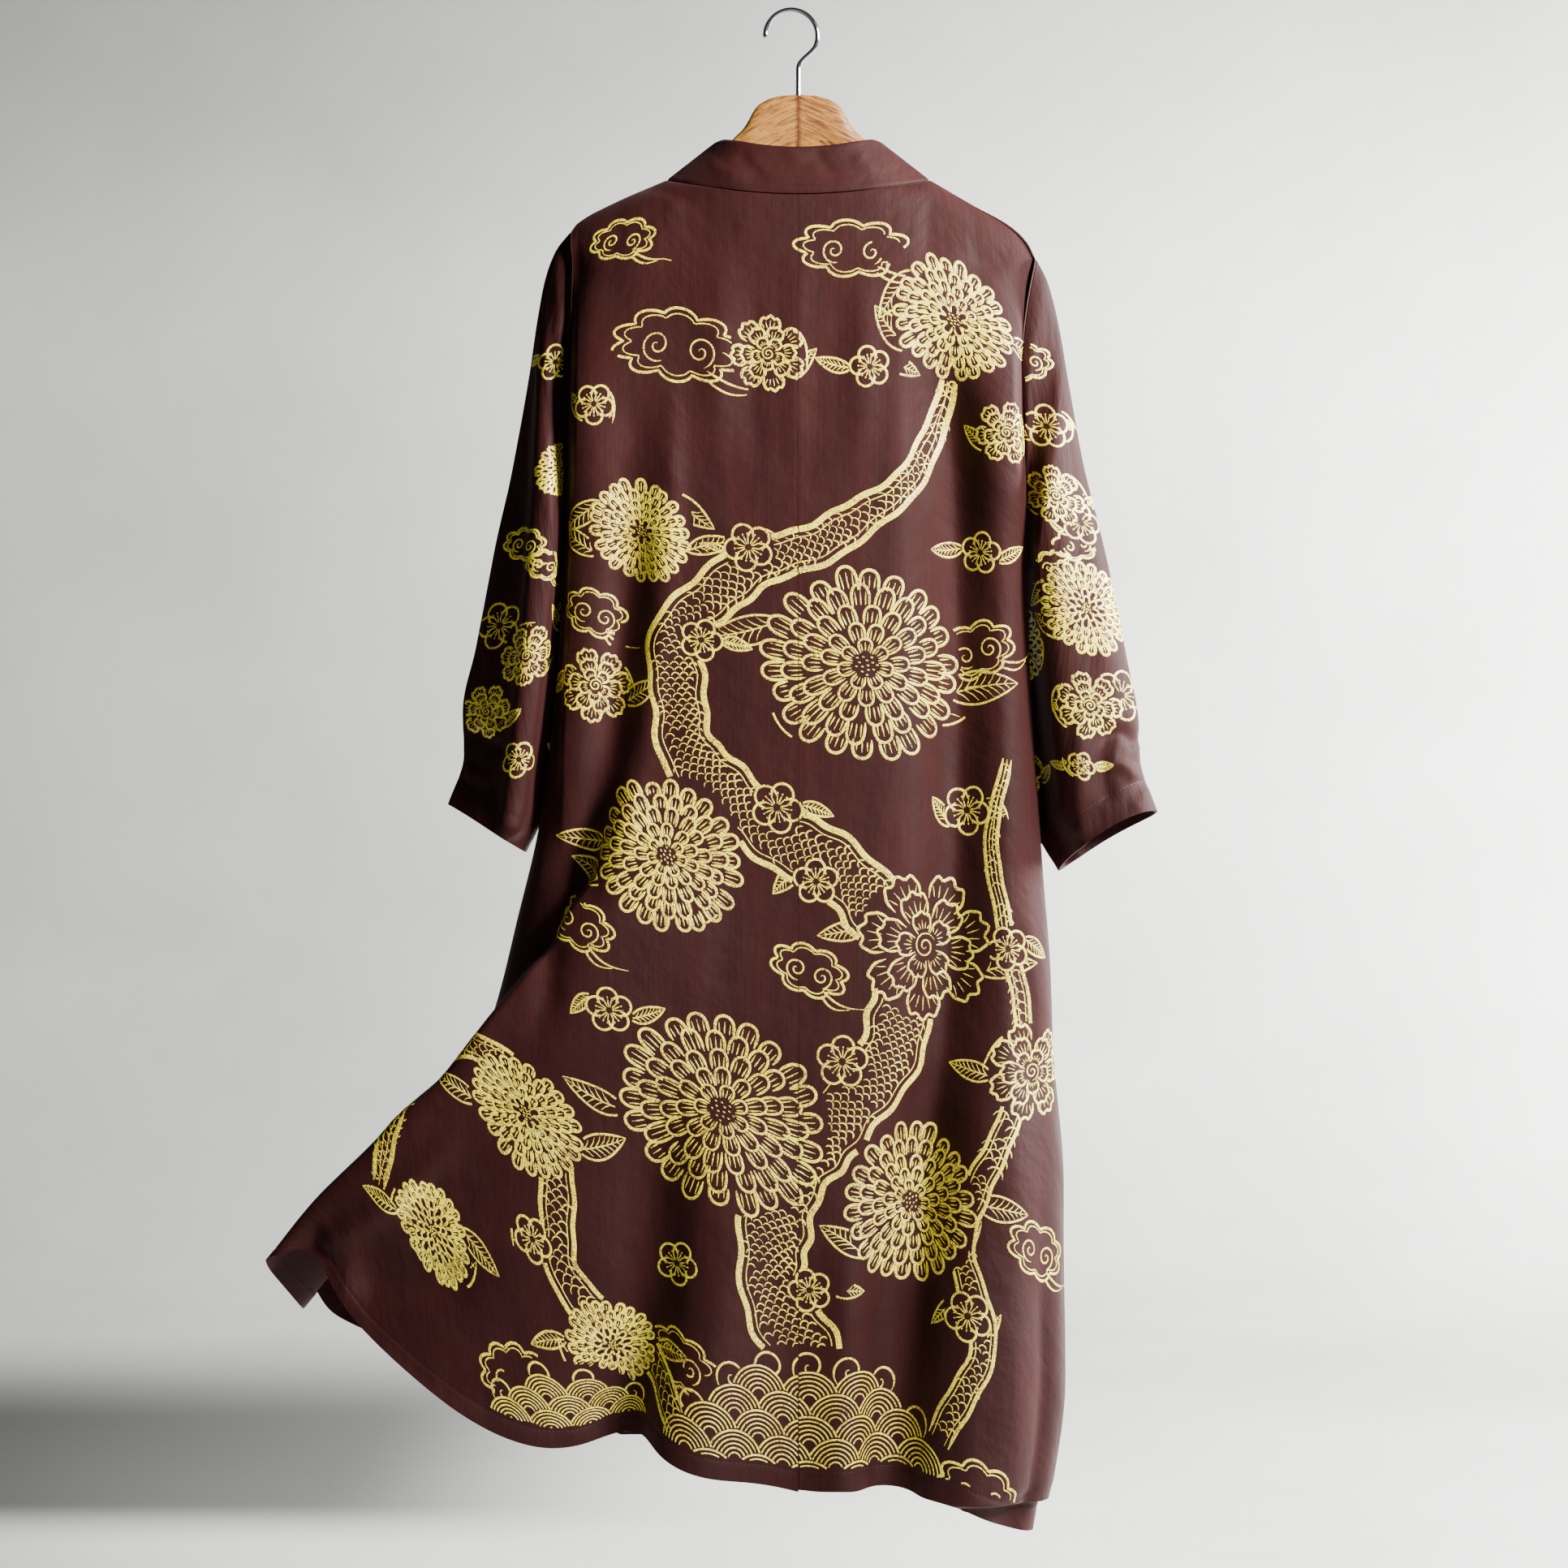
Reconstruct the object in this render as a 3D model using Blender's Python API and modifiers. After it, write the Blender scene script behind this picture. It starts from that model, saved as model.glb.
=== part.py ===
"""A long kimono robe on a wooden hanger, with its skirt blown to one side.

The origin is inside the top of the hanger's hook, +Z is up, the back of the robe faces -Y and the
wearer's right hand side lies at +X. Every size below is in millimetres until a mesh is made.
"""

import math

import bpy
import numpy as np

MM = 0.001
WALL = 2.0
BAND_WALL = 3.0
HALF_GAP = 0.16
SLEEVE_GAP = 0.65

CENTRE_X = 6.5
NECK_HALF_WIDTH = 124.0
NECK_LOW_Z = -176.0
NECK_RISE = 18.0
NECK_DEPTH = 38.0
SHOULDER_ROUND = 20.0
SHOULDER_SETTLE_DROP = 60.0
BODY_LENGTH = 1192.0
UNDERARM = 0.26
ARMHOLE_HALF_DEPTH = 38.0
FULLNESS_POWER = 0.8

BACK_COLUMNS = {"left": 28, "right": 18}
FRONT_COLUMNS = 13
SEAM_LEVEL = 5e-6
SEAM_STATION = 0.9985
BODY_LEVELS = (
    0.0, SEAM_LEVEL, 0.002, 0.008, 0.02, 0.05, 0.10, 0.16, 0.22, 0.26, 0.31, 0.38, 0.45, 0.51,
    0.57, 0.63, 0.69, 0.75, 0.80, 0.85, 0.90, 0.95, 1.0,
)
SLEEVE_SIDES = 22
SLEEVE_STATIONS = (0.0, 0.05, 0.12, 0.22, 0.34, 0.46, 0.58, 0.70, 0.80, 0.88, 0.94, 1.0)


def table(columns, *rows):
    """The named columns of a table, each as an array."""
    return dict(zip(columns.split(), np.array(rows, float).T))


# The height of each shoulder's ridge, from the neck out to the sleeve.
SHOULDER = {
    "left": table("x z", (-207, -207), (-200, -198), (-169, -180.5), (-117.5, -158)),
    "right": table("x z", (130.5, -158), (169, -180.5), (204, -200), (221, -216), (229.5, -233)),
}

# Where each side seam runs, from the shoulder (level 0) down to the hem (level 1).
SIDE_SEAM = {
    "left": table(
        "level x y z",
        (0.00, -207, 0, -207),
        (0.10, -209, 0, -300),
        (0.26, -214, 0, -479),
        (0.36, -217, 0, -589),
        (0.50, -232, 0, -749),
        (0.60, -256, 6, -850),
        (0.70, -279, 14, -935),
        (0.80, -315, 24, -1022),
        (0.90, -384, 34, -1121),
        (1.00, -461, 40, -1216),
    ),
    "right": table(
        "level x y z",
        (0.00, 229.5, 0, -233),
        (0.10, 223.5, 0, -323),
        (0.26, 221, 0, -490),
        (0.36, 222, 0, -608),
        (0.50, 232, 0, -779),
        (0.60, 241, 0, -904),
        (0.70, 243, 0, -1026),
        (0.80, 245, 0, -1151),
        (0.90, 249, 0, -1281),
        (1.00, 226, 0, -1418),
    ),
}

# How far the back and the front stand off the middle plane, and where the front edges run.
BODY = table(
    "level back front opening",
    (0.00, 40, 40, 124),
    (0.10, 50, 44, 92),
    (0.20, 56, 47, 58),
    (0.30, 58, 48, 47),
    (0.50, 62, 52, 47),
    (0.75, 80, 66, 49),
    (1.00, 96, 84, 52),
)
FRONT_HEM_RISE = 24.0
LEFT_EDGE_SWING = table("level x", (0.0, 0), (0.45, 0), (0.7, -26), (0.85, -66), (1.0, -118))

# The fold that the wind throws out of the left back: its crest, from the waist to the hem.
WING = table(
    "level station out near lift outer_width",
    (0.00, 0.47, 0, 0, 0, 0.08),
    (0.44, 0.47, 0, 0, 0, 0.08),
    (0.50, 0.475, 6, 10, 0, 0.07),
    (0.55, 0.49, 16, 20, 0, 0.07),
    (0.60, 0.525, 26, 30, 0, 0.08),
    (0.65, 0.585, 36, 36, 0, 0.10),
    (0.70, 0.645, 44, 40, 2, 0.12),
    (0.76, 0.70, 51, 38, 6, 0.14),
    (0.82, 0.73, 71, 36, 14, 0.15),
    (0.90, 0.74, 74, 32, 36, 0.15),
    (1.00, 0.75, 55, 28, 65, 0.15),
)
WING_INNER_WIDTH = 0.30
WING_FADE_MIDDLE = 0.20
WING_FADE_SEAM = 0.16

# Folds of each panel. Stations run from the middle (0) to the side seam (1), levels from the
# shoulder to the hem, and a fold grows from its start to its full size, in millimetres: near is
# away from the wearer, across is towards +X and drop is downwards.
FOLD_COLUMNS = "top_station hem_station width start full near across drop"
FOLDS = {
    "back_left": table(
        FOLD_COLUMNS,
        (0.47, 0.60, 0.09, 0.12, 0.42, -7, 0, 0),
        (0.10, 0.13, 0.07, 0.78, 1.00, 20, -9, 6),
        (0.17, 0.20, 0.06, 0.80, 1.00, -16, 0, -26),
        (0.24, 0.27, 0.05, 0.86, 1.00, -10, 0, -2),
        (0.40, 0.38, 0.20, 0.55, 1.00, 4, 0, 50),
        (0.60, 0.67, 0.06, 0.88, 1.00, -10, 6, -26),
    ),
    "back_right": table(
        FOLD_COLUMNS,
        (0.10, 0.12, 0.07, 0.76, 1.00, 9, 0, -5),
        (0.22, 0.24, 0.07, 0.72, 1.00, -16, 0, -8),
        (0.40, 0.38, 0.20, 0.55, 1.00, 8, 0, -17),
        (0.72, 0.68, 0.10, 0.60, 1.00, -9, 0, 0),
    ),
    "front_left": table(
        FOLD_COLUMNS,
        (0.30, 0.26, 0.13, 0.40, 1.00, 14, 0, 0),
        (0.58, 0.56, 0.13, 0.50, 1.00, -16, 0, 0),
        (0.90, 0.88, 0.10, 0.80, 1.00, 8, 0, -20),
    ),
    "front_right": table(
        FOLD_COLUMNS,
        (0.32, 0.30, 0.12, 0.40, 1.00, 12, 0, 0),
        (0.62, 0.60, 0.12, 0.45, 1.00, -14, 0, 0),
    ),
}

# Each sleeve's outer and inner line from the armhole to the cuff, and its half depth.
SLEEVE_COLUMNS = "station outer_x outer_z inner_x inner_z half_depth tilt"
SLEEVE = {
    "left": table(
        SLEEVE_COLUMNS,
        (0.00, -207, -207, -214, -479, 38, 0),
        (0.06, -220, -224, -218, -499, 43, 0),
        (0.14, -231, -255, -220, -519, 46, 0),
        (0.28, -243, -331, -221, -551, 48, 0),
        (0.45, -260, -425, -222.5, -597, 48, 0),
        (0.60, -276, -505, -225, -638, 47, 0),
        (0.75, -294, -595, -230, -684, 45, 0),
        (0.88, -307, -657, -236, -726, 42, 0),
        (0.94, -306, -696, -240, -752, 41, 0),
        (1.00, -321, -742, -248, -787, 43, 1),
    ),
    "right": table(
        SLEEVE_COLUMNS,
        (0.00, 229.5, -233, 221, -490, 38, 0),
        (0.06, 239, -252, 224.5, -512, 43, 0),
        (0.14, 249, -290, 226, -532, 46, 0),
        (0.28, 260, -353, 227, -562, 48, 0),
        (0.45, 278, -451, 229.5, -608, 48, 0),
        (0.60, 296, -524, 232, -650, 47, 1),
        (0.75, 313, -604, 235, -695, 45, 2),
        (0.88, 325, -669, 240, -737, 42, 4),
        (0.94, 326, -701, 243, -765, 41, 5),
        (1.00, 342, -749, 250, -804, 43, 7),
    ),
}

# The neckband, from the middle of the back of the neck to the hem: its width across the cloth.
NECKBAND = table(
    "level inward forward up",
    (-1.0, 0, 9, 46),
    (-0.5, 16, 10, 46),
    (-0.2, 33, 10, 44),
    (0.00, 46, 7, 37),
    (0.03, 48, 3, 24),
    (0.10, 46, 2, 13),
    (0.20, 44, 1, 7),
    (0.30, 43, 0, 0),
    (1.00, 44, 0, 0),
)
NECKBAND_NECK_LEVELS = (-1.0, -0.85, -0.7, -0.55, -0.4, -0.25, -0.1)
NECKBAND_SEAM_GAP = 0.5

# The wooden hanger's half, from its middle out along one arm.
HANGER_LENGTH = 206.0
HANGER_COLUMNS = 24
HANGER_SIDES = 16
HANGER_ARM_SPACING = 0.85
HANGER_ROUND_SIDES = 0.8
HANGER_ROUND_EDGES = 0.9
HANGER_SHARP_DEGREES = 40.0
HANGER_UNDER_CLOTH = {"left": 2.4, "right": 3.0}
HANGER = table(
    "out top height thickness",
    (0, -77.5, 62, 13),
    (16, -78.6, 61, 13),
    (26, -81, 59, 13.5),
    (37, -87, 55, 14),
    (42, -93, 51, 14),
    (46.5, -101.5, 45, 14),
    (52, -110, 41, 14),
    (60, -117.8, 39, 14),
    (74, -134, 36, 14),
    (95, -153, 34, 14),
    (124, -167, 33, 16),
    (150, -173, 32, 19),
    (165, -179, 31, 18),
    (196, -200, 25, 15),
    (206, -211, 13, 11),
)
SHANK_HOLE_RADIUS = 2.7
SHANK_HOLE_DEPTH = 22.0
SHANK_FOOT_CLEARANCE = 1.5

# The hook: a steel wire bent round an arc, then back over the shank that stands in the wood.
WIRE_RADIUS = 2.15
HOOK_RADIUS = 24.5
HOOK_START_DEGREES = 184.0
HOOK_END_DEGREES = -22.0
HOOK_STEPS = 20
SHANK_BEND_Z = -53.0
SHANK_STEPS = 6

COLOURS = {
    "cloth": ((0.050, 0.018, 0.020), 0.62, 0.0),
    "wood": ((0.62, 0.36, 0.17), 0.45, 0.0),
    "steel": ((0.55, 0.55, 0.56), 0.22, 1.0),
}


def smooth(places, values, at):
    """A smooth curve through (places, values) that never overshoots them, read at each place in at."""
    steps = np.diff(places)
    slopes = np.diff(values) / steps
    before, after = slopes[:-1], slopes[1:]
    same_way = before * after > 0
    mean = 2 * before * after / np.where(same_way, before + after, 1)
    bends = np.concatenate([slopes[:1], np.where(same_way, mean, 0), slopes[-1:]])
    at = np.clip(at, places[0], places[-1])
    row = np.clip(np.searchsorted(places, at, side="right") - 1, 0, len(steps) - 1)
    part = (at - places[row]) / steps[row]
    return (
        values[row] * (1 + 2 * part) * (1 - part) ** 2
        + values[row + 1] * part**2 * (3 - 2 * part)
        + steps[row] * part * (1 - part) * (bends[row] * (1 - part) - bends[row + 1] * part)
    )


def read(rows, name, at):
    """The column called name, read at each place in at of the table's first column."""
    return smooth(next(iter(rows.values())), rows[name], at)


def top_line(x, side):
    """The height of the neck's edge or of the shoulder's ridge at x."""
    off = (x - CENTRE_X) / NECK_HALF_WIDTH
    neck = NECK_LOW_Z + NECK_RISE * off**2
    return np.where(np.abs(off) < 1, neck, read(SHOULDER[side], "z", x))


def draped(level):
    """How far the cloth has come off the ridge of the shoulder: 0 on it, near 1 well below it."""
    drop = level * BODY_LENGTH
    share = SHOULDER_ROUND / BODY["back"][0]
    quarter_round = np.sqrt(1 - np.clip(1 - drop / SHOULDER_ROUND, 0, 1) ** 2)
    return share * quarter_round + (1 - share) * (1 - np.exp(-drop / SHOULDER_SETTLE_DROP))


def armhole(level):
    """Half the armhole's opening from back to front: an ellipse from the shoulder to the underarm."""
    height = np.clip(2 * level / UNDERARM - 1, -1, 1)
    return ARMHOLE_HALF_DEPTH * np.sqrt(1 - height**2)


def outward(side):
    """The way along X that leads out from the middle on this side."""
    return -1 if side == "left" else 1


def bell(distance, width):
    return np.exp(-((distance / width) ** 2))


def add_folds(points, name, facing, station, level):
    """Adds each fold of the named panel; facing is -1 on a back, where near is towards -Y."""
    rows = FOLDS[name]
    for top, hem, width, start, full, near, across, drop in zip(*rows.values()):
        centre = top + (hem - top) * level
        grown = np.clip((level - start) / (full - start), 0, 1)
        grown = grown * grown * (3 - 2 * grown)
        size = grown * bell(station - centre, width)
        points += size[..., None] * np.array([across, facing * near, -drop])


def add_wing(points, station, level):
    """Throws the left back's fold out, towards the viewer and up, along its crest."""
    past = station - read(WING, "station", level)
    size = bell(past, np.where(past > 0, read(WING, "outer_width", level), WING_INNER_WIDTH))
    size = size * np.clip(station / WING_FADE_MIDDLE, 0, 1)
    size = size * np.clip((1 - station) / WING_FADE_SEAM, 0, 1) ** 2
    points[..., 0] -= size * read(WING, "out", level)
    points[..., 1] -= size * read(WING, "near", level)
    points[..., 2] += size * read(WING, "lift", level)


def raise_to_top(z, x_at_top, z_at_top, side, level):
    """Lifts the rows near the top so that the first one follows the neck and shoulder."""
    weight = np.clip(1 - level / UNDERARM, 0, 1) ** 2
    return z + (top_line(x_at_top, side) - z_at_top) * weight


def back_surface(side, station, level):
    """The outer face of one back, from the centre seam (station 0) to the side seam (station 1)."""
    seam = SIDE_SEAM[side]
    facing_out = outward(side)
    seam_x, seam_y, seam_z = (read(seam, axis, level) for axis in "xyz")
    over = np.sin(station * math.pi / 2)
    full = np.cos(np.clip(station, 0, 1) * math.pi / 2) ** FULLNESS_POWER
    x = CENTRE_X + (seam_x - CENTRE_X) * over
    middle_z = NECK_LOW_Z - BODY_LENGTH * level
    z = middle_z + (seam_z - middle_z) * over
    x_top = CENTRE_X + (seam["x"][0] - CENTRE_X) * over
    z_top = NECK_LOW_Z + (seam["z"][0] - NECK_LOW_Z) * over
    z = raise_to_top(z, x_top, z_top, side, level)
    neck = NECK_DEPTH * np.clip(1 - ((x_top - CENTRE_X) / NECK_HALF_WIDTH) ** 4, 0, 1)
    drape = draped(level)
    depth = (read(BODY, "back", level) * drape + neck * (1 - drape)) * full
    depth = depth + (armhole(level) - seam_y) * (1 - full)
    points = np.stack([x, -depth - HALF_GAP, z], axis=-1)
    if side == "left":
        add_wing(points, station, level)
    add_folds(points, f"back_{side}", -1, station, level)
    points[..., 0] += facing_out * HALF_GAP * (1 - over)
    return points


def front_surface(side, station, level):
    """The outer face of one front, from its front edge (station 0) to the side seam (station 1)."""
    seam = SIDE_SEAM[side]
    facing_out = outward(side)
    seam_x, seam_y, seam_z = (read(seam, axis, level) for axis in "xyz")
    over = np.sin(station * math.pi / 2)
    full = np.cos(np.clip(station, 0, 1) * math.pi / 2) ** FULLNESS_POWER
    edge_x = CENTRE_X + facing_out * read(BODY, "opening", level)
    if side == "left":
        edge_x = edge_x + read(LEFT_EDGE_SWING, "x", level)
    neck_z = NECK_LOW_Z + NECK_RISE
    edge_z = neck_z - (BODY_LENGTH + NECK_RISE - FRONT_HEM_RISE) * level
    x = edge_x + (seam_x - edge_x) * over
    z = edge_z + (seam_z - edge_z) * over
    x_top = CENTRE_X + facing_out * NECK_HALF_WIDTH
    x_top = x_top + (seam["x"][0] - x_top) * over
    z_top = neck_z + (seam["z"][0] - neck_z) * over
    z = raise_to_top(z, x_top, z_top, side, level)
    depth = read(BODY, "front", level) * draped(level) * full
    depth = depth + (armhole(level) + seam_y) * (1 - full)
    points = np.stack([x, depth + HALF_GAP, z], axis=-1)
    add_folds(points, f"front_{side}", 1, station, level)
    return points


def armhole_point(side, around):
    """The body's armhole edge: around is 0 on the shoulder and turns over the back to the underarm."""
    seam = SIDE_SEAM[side]
    level = UNDERARM * (1 - np.cos(around)) / 2
    return np.stack(
        [read(seam, "x", level), -ARMHOLE_HALF_DEPTH * np.sin(around), read(seam, "z", level)], axis=-1
    )


def sleeve_ring(side, around, station):
    """An oval between the sleeve's outer and inner lines, whose near side its tilt lifts."""
    outer_x, outer_z, inner_x, inner_z, depth, tilt = (
        read(SLEEVE[side], name, station) for name in SLEEVE_COLUMNS.split()[1:]
    )
    over, back = np.cos(around), np.sin(around)
    x = (outer_x + inner_x) / 2 + (outer_x - inner_x) / 2 * over
    z = (outer_z + inner_z) / 2 + (outer_z - inner_z) / 2 * over + tilt * (back + back**2)
    return np.stack([x, -depth * back, z], axis=-1)


def sleeve_surface(side, around, station):
    """The outer face of one sleeve, which starts on the armhole's edge and turns into plain rings."""
    ring = sleeve_ring(side, around, station)
    first = sleeve_ring(side, around, np.zeros_like(station))
    ring += (armhole_point(side, around) - first) * ((1 - station) ** 4)[..., None]
    ring[..., 0] += outward(side) * SLEEVE_GAP
    return ring


def neckband_surface(side, level, across):
    """The outer face of half the neckband: levels below 0 lie on the neck, the rest down the front."""
    facing_out = outward(side)
    reach = abs(SIDE_SEAM[side]["x"][0] - CENTRE_X)
    over = NECK_HALF_WIDTH * np.clip(1 + level, 0, 1) / reach
    on_neck = back_surface(side, np.arcsin(over) * 2 / math.pi, np.zeros_like(level))
    on_front = front_surface(side, np.zeros_like(level), np.clip(level, 0, 1))
    seam = np.where((level < 0)[..., None], on_neck, on_front)
    seam[..., 1] = np.where(level == 0, 0, seam[..., 1])
    inward, forward, up = (read(NECKBAND, name, level) for name in ("inward", "forward", "up"))
    width = np.stack([-facing_out * inward, forward, up], axis=-1)
    seam_share = NECKBAND_SEAM_GAP / np.linalg.norm(width, axis=-1, keepdims=True)
    return seam + width * (seam_share + across[..., None] * (1 - seam_share))


def clear_scene():
    for thing in list(bpy.data.objects):
        bpy.data.objects.remove(thing, do_unlink=True)


def new_collection(name, shown):
    group = bpy.data.collections.new(name)
    bpy.context.scene.collection.children.link(group)
    group.hide_render = not shown
    return group


def make_material(name, base, roughness, metallic):
    material = bpy.data.materials.new(name)
    material.use_nodes = True
    shader = material.node_tree.nodes["Principled BSDF"]
    shader.inputs["Base Color"].default_value = (*base, 1)
    shader.inputs["Roughness"].default_value = roughness
    shader.inputs["Metallic"].default_value = metallic
    return material


def add_object(name, mesh, group, material):
    mesh.materials.append(material)
    thing = bpy.data.objects.new(name, mesh)
    group.objects.link(thing)
    return thing


def grid_faces(rows, columns, closed, flipped):
    """The quads of a grid stored row by row; closed joins its last row to its first."""
    first = np.arange(rows if closed else rows - 1)
    row, column = np.meshgrid(first, np.arange(columns - 1), indexing="ij")
    after = (row + 1) % rows
    corners = [row * columns + column, after * columns + column,
               after * columns + column + 1, row * columns + column + 1]
    if flipped:
        corners.reverse()
    return np.stack(corners, axis=-1).reshape(-1, 4)


def cloth_piece(name, points, group, material, thickness, closed=False, flipped=False):
    """A piece of cloth: its outer face as a grid, given its thickness towards the inside."""
    rows, columns = points.shape[:2]
    mesh = bpy.data.meshes.new(name)
    mesh.from_pydata(
        (points.reshape(-1, 3) * MM).tolist(), [], grid_faces(rows, columns, closed, flipped).tolist()
    )
    mesh.shade_smooth()
    piece = add_object(name, mesh, group, material)
    wall = piece.modifiers.new("wall", "SOLIDIFY")
    wall.thickness = thickness * MM
    wall.offset = -1
    return piece


def stations(count):
    """Even steps to the side seam, with a hair's breadth before it that squares the wall's edge."""
    return np.append(np.linspace(0, 1, count + 1)[:-1], [SEAM_STATION, 1])


def make_body(group, material):
    """The two backs and the two fronts."""
    levels = np.array(BODY_LEVELS)
    for side, count in BACK_COLUMNS.items():
        station, level = np.meshgrid(stations(count), levels, indexing="ij")
        points = back_surface(side, station, level)
        cloth_piece(f"back_{side}", points, group, material, WALL, flipped=side == "right")
        station, level = np.meshgrid(stations(FRONT_COLUMNS), levels, indexing="ij")
        points = front_surface(side, station, level)
        cloth_piece(f"front_{side}", points, group, material, WALL, flipped=side == "left")


def make_sleeves(group, material):
    angles = np.arange(SLEEVE_SIDES) * 2 * math.pi / SLEEVE_SIDES
    for side in SLEEVE:
        around, station = np.meshgrid(angles, np.array(SLEEVE_STATIONS), indexing="ij")
        points = sleeve_surface(side, around, station)
        cloth_piece(f"sleeve_{side}", points, group, material, WALL, closed=True, flipped=side == "left")


def make_neckband(group, material):
    """One band from the left hem up the front, round the back of the neck and down to the right hem."""
    down = np.array(NECKBAND_NECK_LEVELS + BODY_LEVELS)
    level, across = np.meshgrid(down, np.linspace(0, 1, 3), indexing="ij")
    right = neckband_surface("right", level, across)
    left = neckband_surface("left", level[:0:-1], across[:0:-1])
    points = np.concatenate([left, right])
    cloth_piece("neckband", points, group, material, BAND_WALL)


def hanger_rings(side):
    """Rounded sections of the wood, from the glue seam out to the arm's end."""
    facing_out = outward(side)
    out = np.linspace(0, 1, HANGER_COLUMNS) ** HANGER_ARM_SPACING * HANGER_LENGTH
    top = read(HANGER, "top", out)
    x = CENTRE_X + facing_out * out
    seat = top_line(x, side) - HANGER_UNDER_CLOTH[side]
    top = np.where(out > NECK_HALF_WIDTH, np.minimum(top, seat), top)
    height = read(HANGER, "height", out)
    thickness = read(HANGER, "thickness", out)
    turn = np.arange(HANGER_SIDES) * 2 * math.pi / HANGER_SIDES
    round_y = np.sign(np.cos(turn)) * np.abs(np.cos(turn)) ** HANGER_ROUND_SIDES
    round_z = np.sign(np.sin(turn)) * np.abs(np.sin(turn)) ** HANGER_ROUND_EDGES
    y = thickness[:, None] / 2 * round_y
    z = (top - height / 2)[:, None] + height[:, None] / 2 * round_z
    x = np.where(out > 0, x, CENTRE_X + facing_out * HALF_GAP)
    return np.stack([np.broadcast_to(x[:, None], y.shape), y, z], axis=-1)


def make_hanger(group, helpers, material):
    """The two glued halves of the wood, each with half of the hole that the hook's shank stands in."""
    bpy.ops.mesh.primitive_cylinder_add(
        vertices=16, radius=SHANK_HOLE_RADIUS * MM, depth=2 * SHANK_HOLE_DEPTH * MM,
        location=(CENTRE_X * MM, 0, HANGER["top"][0] * MM)
    )
    hole = bpy.context.object
    hole.name = "shank_hole"
    hole.hide_render = True
    hole.display_type = "WIRE"
    for owner in list(hole.users_collection):
        owner.objects.unlink(hole)
    helpers.objects.link(hole)
    for side in ("left", "right"):
        points = hanger_rings(side).transpose(1, 0, 2) * MM
        faces = grid_faces(HANGER_SIDES, HANGER_COLUMNS, True, side == "left").tolist()
        seam_end = np.arange(HANGER_SIDES) * HANGER_COLUMNS
        arm_end = seam_end + HANGER_COLUMNS - 1
        faces += [seam_end[:: -outward(side)].tolist(), arm_end[:: outward(side)].tolist()]
        mesh = bpy.data.meshes.new(f"hanger_half_{side}")
        mesh.from_pydata(points.reshape(-1, 3).tolist(), [], faces)
        mesh.shade_smooth()
        mesh.set_sharp_from_angle(angle=math.radians(HANGER_SHARP_DEGREES))
        half = add_object(f"hanger_half_{side}", mesh, group, material)
        cut = half.modifiers.new("shank hole", "BOOLEAN")
        cut.operation = "DIFFERENCE"
        cut.object = hole


def hook_path():
    """The wire's centre line: an arc, a bend back over the middle and the straight shank."""
    turn = np.radians(np.linspace(HOOK_START_DEGREES, HOOK_END_DEGREES, HOOK_STEPS))
    centre_z = WIRE_RADIUS - HOOK_RADIUS
    arc = np.stack([HOOK_RADIUS * np.cos(turn), centre_z + HOOK_RADIUS * np.sin(turn)], axis=-1)
    end, last = arc[-1], turn[-1]
    bend_end = np.array([CENTRE_X, SHANK_BEND_Z])
    reach = np.linalg.norm(bend_end - end)
    leave = reach * np.array([math.sin(last), -math.cos(last)])
    arrive = reach * np.array([0, -1])
    part = np.linspace(0, 1, SHANK_STEPS + 1)[1:, None]
    bend = (
        end * (1 + 2 * part) * (1 - part) ** 2 + bend_end * part**2 * (3 - 2 * part)
        + leave * part * (1 - part) ** 2 - arrive * part**2 * (1 - part)
    )
    foot = np.array([[CENTRE_X, HANGER["top"][0] - SHANK_HOLE_DEPTH + SHANK_FOOT_CLEARANCE]])
    return np.concatenate([arc, bend, foot])


def make_hook(group, material):
    path = hook_path()
    curve = bpy.data.curves.new("hanger_hook", "CURVE")
    curve.dimensions = "3D"
    curve.bevel_depth = WIRE_RADIUS * MM
    curve.bevel_resolution = 2
    curve.use_fill_caps = True
    wire = curve.splines.new("POLY")
    wire.points.add(len(path) - 1)
    for point, (x, z) in zip(wire.points, path):
        point.co = (x * MM, 0, z * MM, 1)
    curve.materials.append(material)
    group.objects.link(bpy.data.objects.new("hanger_hook", curve))


def main():
    clear_scene()
    robe = new_collection("kimono robe", shown=True)
    helpers = new_collection("helpers", shown=False)
    materials = {name: make_material(name, *values) for name, values in COLOURS.items()}
    make_body(robe, materials["cloth"])
    make_sleeves(robe, materials["cloth"])
    make_neckband(robe, materials["cloth"])
    make_hanger(robe, helpers, materials["wood"])
    make_hook(robe, materials["steel"])


main()
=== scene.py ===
"""A long kimono robe on a wooden hanger, seen from behind, with its skirt blown to one side.

Lengths are in millimetres until a mesh is made. The origin is inside the top of the hook, +Z is
up, the robe's back faces -Y, and 0.76 mm is one pixel of the photo.
"""

import math

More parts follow.
